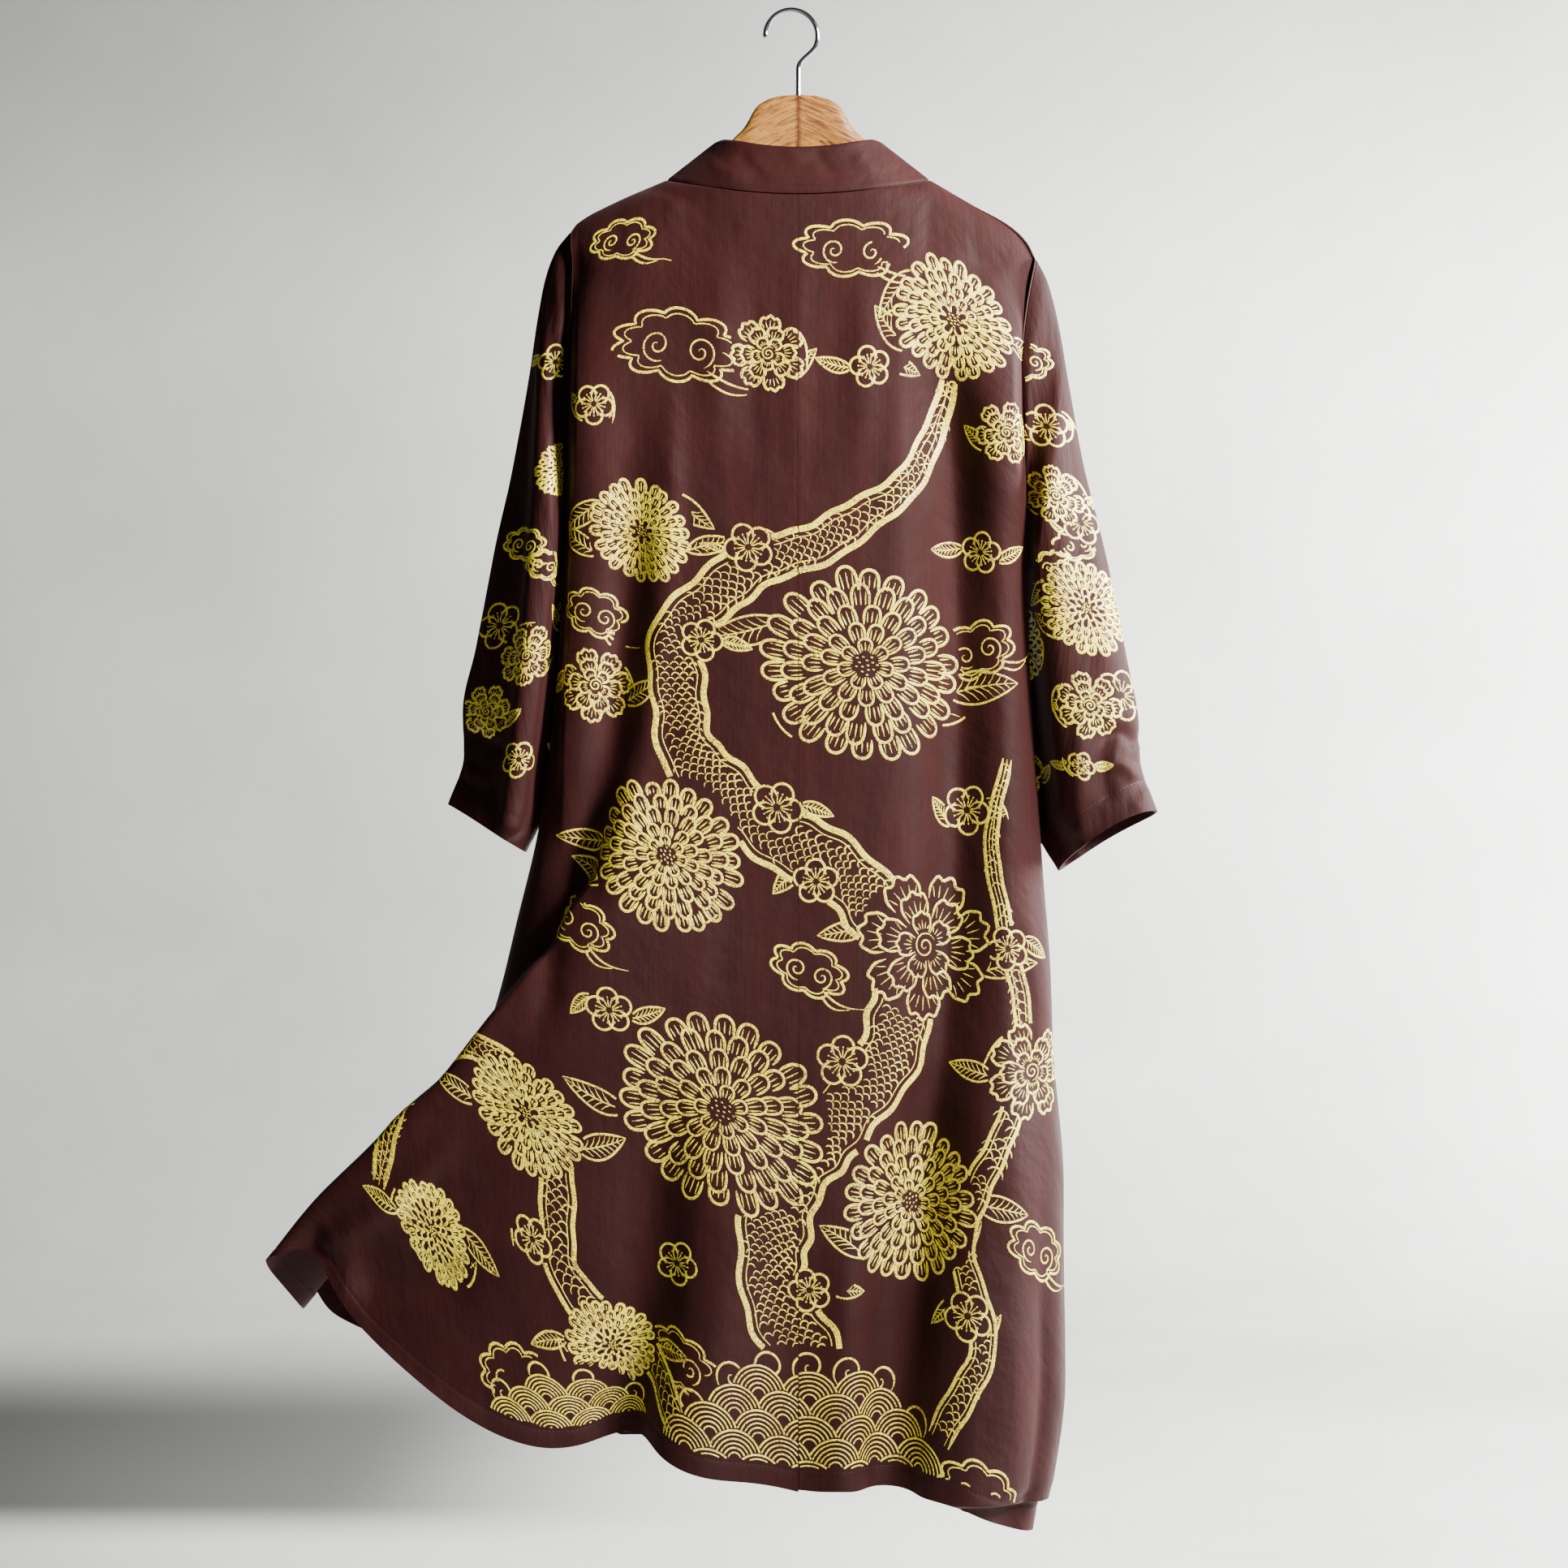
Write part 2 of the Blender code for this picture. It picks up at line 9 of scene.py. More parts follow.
import bpy
import numpy as np
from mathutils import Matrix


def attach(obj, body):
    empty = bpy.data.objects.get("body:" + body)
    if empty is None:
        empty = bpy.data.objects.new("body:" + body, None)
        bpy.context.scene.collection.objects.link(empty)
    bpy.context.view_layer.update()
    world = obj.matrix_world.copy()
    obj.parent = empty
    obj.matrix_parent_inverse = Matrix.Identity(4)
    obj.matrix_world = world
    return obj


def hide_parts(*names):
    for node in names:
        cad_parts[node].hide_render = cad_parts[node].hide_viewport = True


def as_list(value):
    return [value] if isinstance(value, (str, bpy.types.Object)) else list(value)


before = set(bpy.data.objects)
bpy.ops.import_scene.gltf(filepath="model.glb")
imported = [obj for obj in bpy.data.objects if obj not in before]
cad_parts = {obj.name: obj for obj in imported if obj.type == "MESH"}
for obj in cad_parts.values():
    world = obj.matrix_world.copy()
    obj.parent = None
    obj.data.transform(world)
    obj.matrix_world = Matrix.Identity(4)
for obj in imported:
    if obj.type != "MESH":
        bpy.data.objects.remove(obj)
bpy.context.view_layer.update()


def put(name, data):
    """An object for a mesh, a lamp or a camera, in the scene."""
    made = bpy.data.objects.new(name, data)
    bpy.context.scene.collection.objects.link(made)
    return made


# The photographer's camera: it stands level with the middle of the robe, 4 m behind its back,
# with a long lens that takes in a square 1.47 m wide.
CAMERA_PLACE = (-0.00684, -4.0, -0.72276)
CAMERA_LENS = 98.1
CAMERA_SENSOR = 36.0

camera_data = bpy.data.cameras.new("photographers_camera")
camera_data.lens = CAMERA_LENS
camera_data.sensor_width = CAMERA_SENSOR
camera_data.sensor_fit = "HORIZONTAL"
camera = put("photographers_camera", camera_data)
camera.location = CAMERA_PLACE
camera.rotation_euler = (math.radians(90), 0, 0)
bpy.context.scene.camera = camera


# The two backs: long panels of light, smooth woven cloth that meet in the centre back seam. Each
# hangs from the shoulder's ridge, and the wind has thrown a fold of the left one out to the side.
MM = 0.001
CLOTH_THICKNESS = 1.1
HEM_THICKNESS = 2.1
HEM_DEPTH = 17.0
SEAM_HALF_GAP = 0.16

CENTRE_X = 6.5
NECK_HALF_WIDTH = 124.0
NECK_LOW_Z = -176.0
NECK_RISE = 18.0
NECK_DEPTH = 38.0
SHOULDER_ROUND = 20.0
SHOULDER_SETTLE_DROP = 60.0
BODY_LENGTH = 1192.0
UNDERARM = 0.26
ARMHOLE_HALF_DEPTH = 38.0
ARMHOLE_VALLEY = 22.0
FULLNESS_POWER = 0.8


def table(columns, rows):
    """The named columns of a table, its rows parted by commas, each as an array."""
    numbers = [row.split() for row in rows.split(",")]
    return dict(zip(columns.split(), np.array(numbers, float).T))


SHOULDER = {
    "left": table("x z", "-207 -207, -200 -198, -169 -180.5, -117.5 -158"),
    "right": table("x z", "130.5 -158, 169 -180.5, 204 -200, 221 -216, 229.5 -233"),
}
SIDE_SEAM = {
    "left": table("level x y z", """
        0 -207 0 -207, 0.1 -209 0 -300, 0.26 -214 0 -479, 0.36 -217 0 -589, 0.5 -234 0 -749,
        0.6 -257 6 -850, 0.7 -279 14 -935, 0.8 -315 24 -1022, 0.9 -384 34 -1121, 1 -461 40 -1216
    """),
    "right": table("level x y z", """
        0 229.5 0 -233, 0.04 222 0 -269, 0.075 217.5 0 -301, 0.11 214.5 0 -333, 0.15 214.5 0 -374,
        0.2 216 0 -426, 0.26 218.5 0 -490, 0.36 220 0 -608, 0.5 232 0 -779, 0.6 241 0 -904,
        0.7 243 0 -1026, 0.8 245 0 -1151, 0.9 249 0 -1281, 1 226 0 -1418
    """),
}
BODY = table("level back front opening", """
    0 40 40 124, 0.1 50 44 92, 0.2 56 47 58, 0.3 58 48 47, 0.5 62 52 47, 0.75 80 66 49, 1 96 84 52
""")
WING = table("level station out near lift outer_width", """
    0 0.47 0 0 0 0.08, 0.44 0.47 0 0 0 0.08, 0.5 0.475 6 10 0 0.07, 0.55 0.49 16 20 0 0.07,
    0.6 0.525 26 30 0 0.08, 0.65 0.585 36 36 0 0.1, 0.7 0.645 44 40 2 0.12, 0.76 0.7 51 38 6 0.14,
    0.82 0.73 71 36 14 0.15, 0.9 0.74 74 32 36 0.15, 1 0.75 55 28 65 0.15
""")
WING_INNER_WIDTH = 0.30
WING_FADE_MIDDLE = 0.20
WING_FADE_SEAM = 0.16
FOLD_COLUMNS = "top_station hem_station width start full near across drop"
BACK_FOLDS = {
    "left": table(FOLD_COLUMNS, """
        0.47 0.6 0.09 0.12 0.42 -7 0 0,
        0.1 0.13 0.07 0.78 1 20 -9 6,
        0.17 0.2 0.06 0.8 1 -16 0 -26,
        0.24 0.27 0.05 0.86 1 -10 0 -2,
        0.4 0.38 0.2 0.55 1 4 0 50,
        0.6 0.67 0.06 0.88 1 -10 6 -26
    """),
    "right": table(FOLD_COLUMNS, """
        0.1 0.12 0.07 0.76 1 9 0 -5,
        0.22 0.24 0.07 0.72 1 -16 0 -8,
        0.4 0.38 0.2 0.55 1 8 0 -17,
        0.72 0.68 0.1 0.6 1 -9 0 0
    """),
}

# Creases of the cloth, each a soft ridge (height above 0) or trough along a bowed line from a
# start by a middle to an end. The widths are to its left and right, looking from start to end.
CREASE_COLUMNS = "x1 z1 x2 z2 x3 z3 left_width right_width height ease_in ease_out"
BACK_CREASES = table(CREASE_COLUMNS, """
    -152 -320 -158 -600 -212 -840 26 24 -9 0.5 0.1,
    -197 -285 -199 -560 -214 -800 46 8 12 0.25 0.25,
    -116 -320 -120 -560 -170 -830 14 22 5 0.25 0.15,
    -204 -215 -208 -380 -215 -640 14 8 -4 0.1 0.4,
    134 -270 158 -740 100 -1290 25 36 -24 0.14 0.25,
    186 -300 200 -840 196 -1380 30 18 6 0.15 0.01,
    -66 -965 -84 -1170 -112 -1350 66 40 15 0.32 0.01,
    -112 -965 -132 -1170 -158 -1350 38 36 -12 0.32 0.01,
    -20 -1130 -16 -1180 -12 -1250 14 14 -3 0.4 0.4,
    50 -1120 52 -1190 46 -1260 18 18 4 0.4 0.4,
    188 -950 172 -1140 158 -1388 84 38 20 0.4 0.01,
    134 -950 118 -1140 104 -1388 36 40 -16 0.4 0.01,
    -435 -1150 -370 -1110 -290 -1030 16 12 7 0.1 0.4,
    -412 -1178 -345 -1178 -250 -1172 30 24 -11 0.22 0.4,
    -400 -1235 -320 -1300 -200 -1330 16 22 5 0.2 0.3,
    -60 -205 -68 -340 -62 -520 14 18 2.6 0.45 0.45,
    12 -210 4 -340 10 -500 11 13 1.8 0.45 0.45,
    62 -205 68 -330 58 -470 14 16 2.4 0.45 0.45,
    -30 -215 -36 -340 -28 -470 11 11 -1.6 0.45 0.45,
    96 -230 104 -380 96 -560 12 16 2 0.45 0.45,
    -112 -172 -122 -212 -126 -270 20 66 6 0.15 0.5,
    -185 -205 -150 -212 -118 -205 10 8 -2.5 0.4 0.4,
    -195 -238 -160 -246 -120 -235 12 10 2 0.4 0.4,
    212 -230 180 -238 150 -222 9 12 -2 0.4 0.4,
    -235 -830 -222 -900 -240 -965 14 12 -5 0.4 0.4,
    210 -800 228 -920 232 -1060 12 10 4 0.4 0.4,
    -215 -1310 -190 -1325 -160 -1330 14 10 2.5 0.4 0.4,
    215 -1180 226 -1260 214 -1390 10 10 -3 0.4 0.01
""")


def smooth(places, values, at):
    """A cubic curve through (places, values) whose slope at each place is the harmonic mean of the
    two next to it, so it never overshoots."""
    steps = np.diff(places)
    slopes = np.diff(values) / steps
    before, after = slopes[:-1], slopes[1:]
    same_way = before * after > 0
    mean = 2 * before * after / np.where(same_way, before + after, 1)
    bends = np.concatenate([slopes[:1], np.where(same_way, mean, 0), slopes[-1:]])
    at = np.clip(at, places[0], places[-1])
    row = np.clip(np.searchsorted(places, at, side="right") - 1, 0, len(steps) - 1)
    part = (at - places[row]) / steps[row]
    return (
        values[row] * (1 + 2 * part) * (1 - part) ** 2
        + values[row + 1] * part**2 * (3 - 2 * part)
        + steps[row] * part * (1 - part) * (bends[row] * (1 - part) - bends[row + 1] * part)
    )


def read(rows, name, at):
    """The column called name, read at each place in at of the table's first column."""
    return smooth(next(iter(rows.values())), rows[name], at)


def ease(part):
    """0 below 0, 1 above 1, and 3t squared less 2t cubed between them."""
    part = np.clip(part, 0, 1)
    return part * part * (3 - 2 * part)


def outward(side):
    """The way along X that leads out from the middle on this side."""
    return -1 if side == "left" else 1


def top_line(x, side):
    """The neck's edge is a parabola between its two ends, and beyond them the shoulder's ridge is
    read from its table."""
    off = (x - CENTRE_X) / NECK_HALF_WIDTH
    return np.where(np.abs(off) < 1, NECK_LOW_Z + NECK_RISE * off**2, read(SHOULDER[side], "z", x))


def armhole_share(station, level, valley=0.0):
    """The armhole's opening: its ellipse, less the valley, beside the side seam, and further in a
    cosine's hump that dies out below it."""
    hump = ARMHOLE_HALF_DEPTH * (1 - np.cos(2 * math.pi * np.clip(level / UNDERARM / 1.25, 0, 1))) / 2
    near_seam = ease((station - 0.80) / 0.18)
    return armhole(level) * (1 - valley / ARMHOLE_HALF_DEPTH) * near_seam + hump * (1 - near_seam)


def draped(level):
    """How far the cloth has come off the shoulder: a quarter circle over the ridge, then an
    exponential approach to 1."""
    drop = level * BODY_LENGTH
    share = SHOULDER_ROUND / BODY["back"][0]
    quarter_round = np.sqrt(1 - np.clip(1 - drop / SHOULDER_ROUND, 0, 1) ** 2)
    return share * quarter_round + (1 - share) * (1 - np.exp(-drop / SHOULDER_SETTLE_DROP))


def armhole(level):
    """Half the armhole's opening, a half ellipse from the shoulder to the underarm."""
    height = np.clip(2 * level / UNDERARM - 1, -1, 1)
    return ARMHOLE_HALF_DEPTH * np.sqrt(1 - height**2)


def bell(distance, width):
    """e to the power of less the square of distance over width."""
    return np.exp(-((distance / width) ** 2))


def add_folds(points, rows, facing, station, level):
    """Each fold is a bell across the stations, on a line from its top station to its hem station,
    which grows between two levels."""
    for top, hem, width, start, full, near, across, drop in zip(*rows.values()):
        centre = top + (hem - top) * level
        size = ease((level - start) / (full - start)) * bell(station - centre, width)
        points += size[..., None] * np.array([across, facing * near, -drop])


def add_wing(points, station, level):
    """The thrown fold: a bell that is wide towards the middle and narrow past its crest, moved out,
    near and up by its table."""
    past = station - read(WING, "station", level)
    size = bell(past, np.where(past > 0, read(WING, "outer_width", level), WING_INNER_WIDTH))
    size = size * np.clip(station / WING_FADE_MIDDLE, 0, 1)
    size = size * np.clip((1 - station) / WING_FADE_SEAM, 0, 1) ** 2
    points[..., 0] -= size * read(WING, "out", level)
    points[..., 1] -= size * read(WING, "near", level)
    points[..., 2] += size * read(WING, "lift", level)


def spread(side, station, level, edge, top):
    """A panel from its free or centre edge to the side seam, station running by a sine. Its first row is
    lifted onto the neck and the shoulder, the others by the square of what is left above the underarm.
    The share of its depth is a power of the cosine."""
    seam_x, seam_y, seam_z = (read(SIDE_SEAM[side], axis, level) for axis in "xyz")
    over = np.sin(station * math.pi / 2)
    full = np.cos(np.clip(station, 0, 1) * math.pi / 2) ** FULLNESS_POWER
    x_top, z_top = (
        start + (SIDE_SEAM[side][axis][0] - start) * over for start, axis in zip(top, "xz")
    )
    x = edge[0] + (seam_x - edge[0]) * over
    z = edge[1] + (seam_z - edge[1]) * over
    z = z + (top_line(x_top, side) - z_top) * np.clip(1 - level / UNDERARM, 0, 1) ** 2
    return x, z, x_top, seam_y, over, full


def back_surface(side, station, level):
    """A back: station runs from the centre seam to the side seam, and level from shoulder to hem."""
    middle = CENTRE_X, NECK_LOW_Z - BODY_LENGTH * level
    x, z, x_top, seam_y, over, full = spread(side, station, level, middle, (CENTRE_X, NECK_LOW_Z))
    neck = NECK_DEPTH * np.clip(1 - ((x_top - CENTRE_X) / NECK_HALF_WIDTH) ** 4, 0, 1)
    drape = draped(level)
    depth = (read(BODY, "back", level) * drape + neck * (1 - drape)) * full
    depth = depth + (armhole_share(station, level, ARMHOLE_VALLEY) - seam_y) * (1 - full)
    points = np.stack([x, -depth - SEAM_HALF_GAP, z], axis=-1)
    if side == "left":
        add_wing(points, station, level)
    add_folds(points, BACK_FOLDS[side], -1, station, level)
    points[..., 0] += outward(side) * SEAM_HALF_GAP * (1 - over)
    return points


def unit(vectors):
    """Each vector divided by its length."""
    return vectors / np.maximum(np.linalg.norm(vectors, axis=-1, keepdims=True), 1e-9)


def normals_of(points, closed=False):
    """The cross product of the steps along the rows and along the columns, at each point."""
    if closed:
        along = np.roll(points, -1, axis=0) - np.roll(points, 1, axis=0)
    else:
        along = np.gradient(points, axis=0)
    return unit(np.cross(along, np.gradient(points, axis=1)))


def add_creases(points, normals, rows, calm):
    """Moves the cloth along its normals by a bell of the distance, seen from behind, to each
    crease's parabola; calm is 0 where it stays still."""
    flat = points[..., [0, 2]]
    lift = np.zeros(points.shape[:2])
    for x1, z1, x2, z2, x3, z3, left, right, height, ease_in, ease_out in zip(*rows.values()):
        part = np.linspace(0, 1, 15)[:, None]
        ends = np.array([[x1, z1], [x2, z2], [x3, z3]])
        line = (
            ends[0] * (1 - part) * (1 - 2 * part) + ends[1] * 4 * part * (1 - part)
            + ends[2] * part * (2 * part - 1)
        )
        nearest = np.full(lift.shape, 1e9)
        size = np.zeros(lift.shape)
        for step in range(len(line) - 1):
            way = line[step + 1] - line[step]
            reach = flat - line[step]
            along = np.clip((reach @ way) / (way @ way), 0, 1)
            gap = reach - along[..., None] * way
            distance = np.hypot(gap[..., 0], gap[..., 1])
            at_left = way[0] * reach[..., 1] - way[1] * reach[..., 0] > 0
            place = (step + along) / (len(line) - 1)
            grown = ease(place / ease_in) * ease((1 - place) / ease_out)
            closer = distance < nearest
            size = np.where(closer, grown * bell(distance, np.where(at_left, left, right)), size)
            nearest = np.minimum(nearest, distance)
        lift += height * size
    points += normals * (lift * calm)[..., None]


def run_along(points, axis):
    """The length of cloth from the first row or column to each point, in millimetres."""
    steps = np.linalg.norm(np.diff(points, axis=axis), axis=-1)
    start = np.zeros_like(np.take(steps, [0], axis=axis))
    return np.concatenate([start, np.cumsum(steps, axis=axis)], axis=axis)


def quads_of(index):
    """The faces between neighbouring rows and columns of a grid of point numbers."""
    return np.stack([index[:-1, :-1], index[1:, :-1], index[1:, 1:], index[:-1, 1:]], -1).reshape(-1, 4)


def make_object(name, points, faces, material, sharp_degrees=None):
    """A smooth mesh from points in millimetres; edges where it turns by more than sharp_degrees
    stay crisp."""
    mesh = bpy.data.meshes.new(name)
    mesh.from_pydata(points.reshape(-1, 3) * MM, [], faces)
    mesh.shade_smooth()
    if sharp_degrees:
        mesh.set_sharp_from_angle(angle=math.radians(sharp_degrees))
    mesh.materials.append(material)
    return put(name, mesh)


def make_cloth(name, outer, thickness, closed=False, flipped=False, material=None):
    """A shell: the outer grid, the same grid moved inwards by thickness, and a strip that closes
    each free edge. Its UV map is the flat cloth in metres."""
    away = normals_of(outer, closed) * (-1 if flipped else 1)
    inner = outer - away * np.broadcast_to(thickness, outer.shape[:2])[..., None]
    count = outer.shape[0] * outer.shape[1]
    index = np.arange(count).reshape(outer.shape[:2])
    if closed:
        index = np.concatenate([index, index[:1]])
    near = quads_of(index)
    edges = [(index[1:, 0], index[:-1, 0]), (index[:-1, -1], index[1:, -1])]
    if not closed:
        edges += [(index[0, :-1], index[0, 1:]), (index[-1, 1:], index[-1, :-1])]
    rims = [np.stack([one, other, other + count, one + count], -1) for one, other in edges]
    faces = np.concatenate([near, near[:, ::-1] + count, *rims])
    if flipped:
        faces = faces[:, ::-1]
    piece = make_object(name, np.stack([outer, inner]), faces, material or ROBE_CLOTH, 60)
    flat = np.stack([run_along(outer, 0), run_along(outer, 1)], -1).reshape(-1, 2) * MM
    corner = np.empty(len(piece.data.loops), np.int32)
    piece.data.loops.foreach_get("vertex_index", corner)
    piece.data.uv_layers.new(name="flat_cloth").data.foreach_set("uv", flat[corner % count].reshape(-1))
    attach(piece, "root")
    return piece


def make_stitches(name, panel, column, places):
    """A row of stitches along one column of a panel's grid, measured at so many places: short raised
    strips, with a gap after each."""
    row = np.linspace(0, len(panel["outer"]) - 1, places)
    run = run_along(sample(panel["outer"], row, np.full(places, column))[:, None], 0)[:, 0]
    starts = np.arange(STITCH_GAP, run[-1] - STITCH_LENGTH, STITCH_LENGTH + STITCH_GAP)
    cuts = np.stack([starts, starts + STITCH_LENGTH / 2, starts + STITCH_LENGTH], -1)
    centre, away = on_cloth(panel, np.interp(cuts, run, row), np.full(cuts.shape, column))
    forward = unit(centre[:, 2] - centre[:, 0])[:, None]
    across = unit(np.cross(away, forward)) * THREAD_WIDTH / 2
    ridge = centre + away * np.array([-0.1, 0.4, -0.1])[:, None] * THREAD_WIDTH
    strip = np.stack([centre + across - away * 0.1, ridge, centre - across - away * 0.1], axis=2)
    quads = quads_of(np.arange(9).reshape(3, 3))
    faces = (np.arange(len(starts))[:, None, None] * 9 + quads).reshape(-1, 4)
    stitches = make_object(name, strip, faces, THREAD)
    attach(stitches, "root")
    panel["with"].append(stitches)


def sample(grid, row, column):
    """The grid's value at a place between its rows and columns, by bilinear interpolation."""
    row = np.clip(row, 0, grid.shape[0] - 1.000001)
    column = np.clip(column, 0, grid.shape[1] - 1.000001)
    low_row, low_column = row.astype(int), column.astype(int)
    up, on = (row - low_row)[..., None], (column - low_column)[..., None]
    return (
        grid[low_row, low_column] * (1 - up) * (1 - on) + grid[low_row + 1, low_column] * up * (1 - on)
        + grid[low_row, low_column + 1] * (1 - up) * on + grid[low_row + 1, low_column + 1] * up * on
    )


def on_cloth(group, row, column):
    """A panel's point and its outward normal at a place of its grid."""
    return sample(group["outer"], row, column), unit(sample(group["normals"], row, column))


def linear(hex_colour):
    """An sRGB hex colour turned to linear light, by the sRGB curve."""
    parts = np.array([int(hex_colour[i : i + 2], 16) for i in (1, 3, 5)]) / 255
    parts = np.where(parts <= 0.04045, parts / 12.92, ((parts + 0.055) / 1.055) ** 2.4)
    return (*parts.tolist(), 1.0)


def feed(tree, made, feeds):
    """Gives each of a node's sockets a value, or links an output to it."""
    for socket, value in feeds.items():
        if isinstance(value, bpy.types.NodeSocket):
            tree.links.new(value, made.inputs[socket])
        else:
            made.inputs[socket].default_value = value


def add_node(tree, kind, feeds=(), **settings):
    """One shader node with its own settings and feeds."""
    made = tree.nodes.new("ShaderNode" + kind)
    for name, value in settings.items():
        setattr(made, name, value)
    feed(tree, made, dict(feeds))
    return made


def maths(tree, operation, *values, **settings):
    """What a maths node makes of its values."""
    return add_node(tree, "Math", dict(enumerate(values)), operation=operation, **settings).outputs[0]


def noise(tree, place, scale, detail, roughness=0.5):
    """A noise texture's grey and its colour."""
    feeds = {"Vector": place, "Scale": scale, "Detail": detail, "Roughness": roughness}
    return add_node(tree, "TexNoise", feeds).outputs


def object_place(tree):
    """Each point's own place on its object, in metres."""
    return add_node(tree, "TexCoord").outputs["Object"]


def stretched(tree, place, scale):
    """A place with its own scale along each axis."""
    return add_node(tree, "Mapping", {0: place, "Scale": scale}).outputs[0]


def blend(tree, share, under, over, way="MIX"):
    """Two colours, with a share of the second over the first."""
    feeds = {0: share, 6: under, 7: over}
    return add_node(tree, "Mix", feeds, data_type="RGBA", blend_type=way).outputs[2]


def bump(tree, height, strength, distance, *under):
    """The normal tilted by a height, its distance in metres, over the bump under it."""
    feeds = {"Height": height, "Strength": strength, "Distance": distance}
    feeds.update(("Normal", normal) for normal in under)
    return add_node(tree, "Bump", feeds).outputs[0]


def new_material(name):
    """An empty material, the tree of its nodes and the Principled shader in it."""
    material = bpy.data.materials.new(name)
    material.use_nodes = True
    return material, material.node_tree, material.node_tree.nodes["Principled BSDF"]


def ramp(tree, value, *stops):
    """A colour ramp over value, with a stop for each (place, hex colour or grey)."""
    made = add_node(tree, "ValToRGB", {0: value})
    elements = made.color_ramp.elements
    while len(elements) < len(stops):
        elements.new(1.0)
    for element, (place, colour) in zip(elements, stops):
        element.position = place
        element.color = linear(colour) if isinstance(colour, str) else (colour, colour, colour, 1)
    return made.outputs["Color"]


def robe_cloth_material():
    """Washed satin-faced viscose, piece-dyed: fine slubs run down the cloth, the dye is a little
    uneven, and the face has a soft sheen."""
    material, tree, shader = new_material("washed_viscose_satin")
    flat = add_node(tree, "UVMap", uv_map="flat_cloth").outputs[0]
    # Slubs are 1 to 3 mm across and some 60 mm long. Threads of 0.15 mm are too fine to show, so
    # the weave is drawn at 0.9 mm.
    slub = noise(tree, stretched(tree, flat, (420, 14, 1)), 1.0, 3.0)[0]
    broad = noise(tree, stretched(tree, flat, (38, 5, 1)), 1.0, 4.0)[0]
    patch = noise(tree, flat, 9.0, 3.0)[0]
    tone = maths(tree, "DIVIDE", maths(tree, "ADD", maths(tree, "ADD", slub, broad), patch), 3.0)
    threads = {"Vector": flat, "Scale": 350.0, "Distortion": 1.2, "Detail": 1.0}
    across, down = (add_node(tree, "TexWave", threads, bands_direction=way).outputs[1] for way in "XY")
    normal = bump(tree, maths(tree, "MULTIPLY", across, down), 0.18, 0.0002)
    normal = bump(tree, slub, 0.3, 0.0004, normal)
    normal = bump(tree, broad, 0.22, 0.0015, normal)
    # Washing leaves crumples 10 to 40 mm across.
    normal = bump(tree, noise(tree, flat, 22.0, 4.0)[0], 0.55, 0.005, normal)
    feed(tree, shader, {
        "Base Color": ramp(tree, tone, (0.40, "#240909"), (0.50, "#290b0a"), (0.60, "#2e0e0d")),
        "Roughness": ramp(tree, broad, (0.3, 0.62), (0.7, 0.72)),
        "Normal": normal,
        "Sheen Weight": 0.07,
        "Sheen Roughness": 0.45,
        "Sheen Tint": linear("#d9b5b5"),
        "IOR": 1.45,
        "Specular IOR Level": 0.16,
    })
    return material


def thread_material():
    """Spun polyester sewing thread, dyed to the cloth: a little darker and glossier than it."""
    material, tree, shader = new_material("sewing_thread")
    # The twist of the thread is 1 mm long.
    twist = noise(tree, object_place(tree), 900.0, 2.0)[0]
    colour = ramp(tree, twist, (0.3, "#120506"), (0.7, "#22090b"))
    feed(tree, shader, {"Base Color": colour, "Roughness": 0.5})
    return material


ROBE_CLOTH = robe_cloth_material()
THREAD = thread_material()
THREAD_WIDTH = 0.7
STITCH_LENGTH = 3.2
STITCH_GAP = 1.2

BACK_STATIONS = {"left": 180, "right": 130}
LEVELS = np.concatenate([
    np.linspace(0, 1, 12)[:-1] ** 2 * 0.018,
    np.linspace(0.018, 0.975, 205)[:-1],
    np.linspace(0.975, 1.0, 22),
])
HEM_LEVEL = 1 - HEM_DEPTH / BODY_LENGTH
HEM_STITCH_GROOVE = 0.32
EDGE_CALM = 0.02


def column_at(level):
    """Which column of a panel's grid lies at a level."""
    return np.interp(level, LEVELS, np.arange(len(LEVELS)))


def hem_thickness(from_stitch):
    """The wall's thickness, which steps up at the stitching, where the hem is turned up inside."""
    return CLOTH_THICKNESS + (HEM_THICKNESS - CLOTH_THICKNESS) * ease(from_stitch / 2.5 + 0.5)


def make_panel(name, surface, creases, side, stations, calm_front_edge, stitch_places):
    """A back or a front: its surface with its creases, the hem's raised band and the groove that
    its stitches pull in, and the stitches."""
    station, level = np.meshgrid(np.linspace(0, 1, stations), LEVELS, indexing="ij")
    calm = ease(level / EDGE_CALM) * ease((1 - station) / EDGE_CALM / 2)
    flipped = side == ("left" if calm_front_edge else "right")
    sign = -1 if flipped else 1
    if calm_front_edge:
        calm = calm * ease(station / EDGE_CALM / 2)
    points = surface(side, station, level)
    add_creases(points, normals_of(points) * sign, creases, calm)
    from_stitch = (level - HEM_LEVEL) * BODY_LENGTH
    groove = HEM_STITCH_GROOVE * bell(from_stitch, 1.6) - 0.2 * ease(from_stitch / 3)
    points -= normals_of(points) * sign * (groove * ease(calm * 4))[..., None]
    normals = normals_of(points) * sign
    piece = make_cloth(f"{name}_{side}_cloth", points, hem_thickness(from_stitch), flipped=flipped)
    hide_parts(f"{name}_{side}")
    panel = {"piece": piece, "outer": points, "normals": normals, "with": []}
    make_stitches(f"{name}_{side}_hem_stitches", panel, column_at(HEM_LEVEL), stitch_places)
    return panel


backs = {
    side: make_panel("back", back_surface, BACK_CREASES, side, stations, False, 400)
    for side, stations in BACK_STATIONS.items()
}


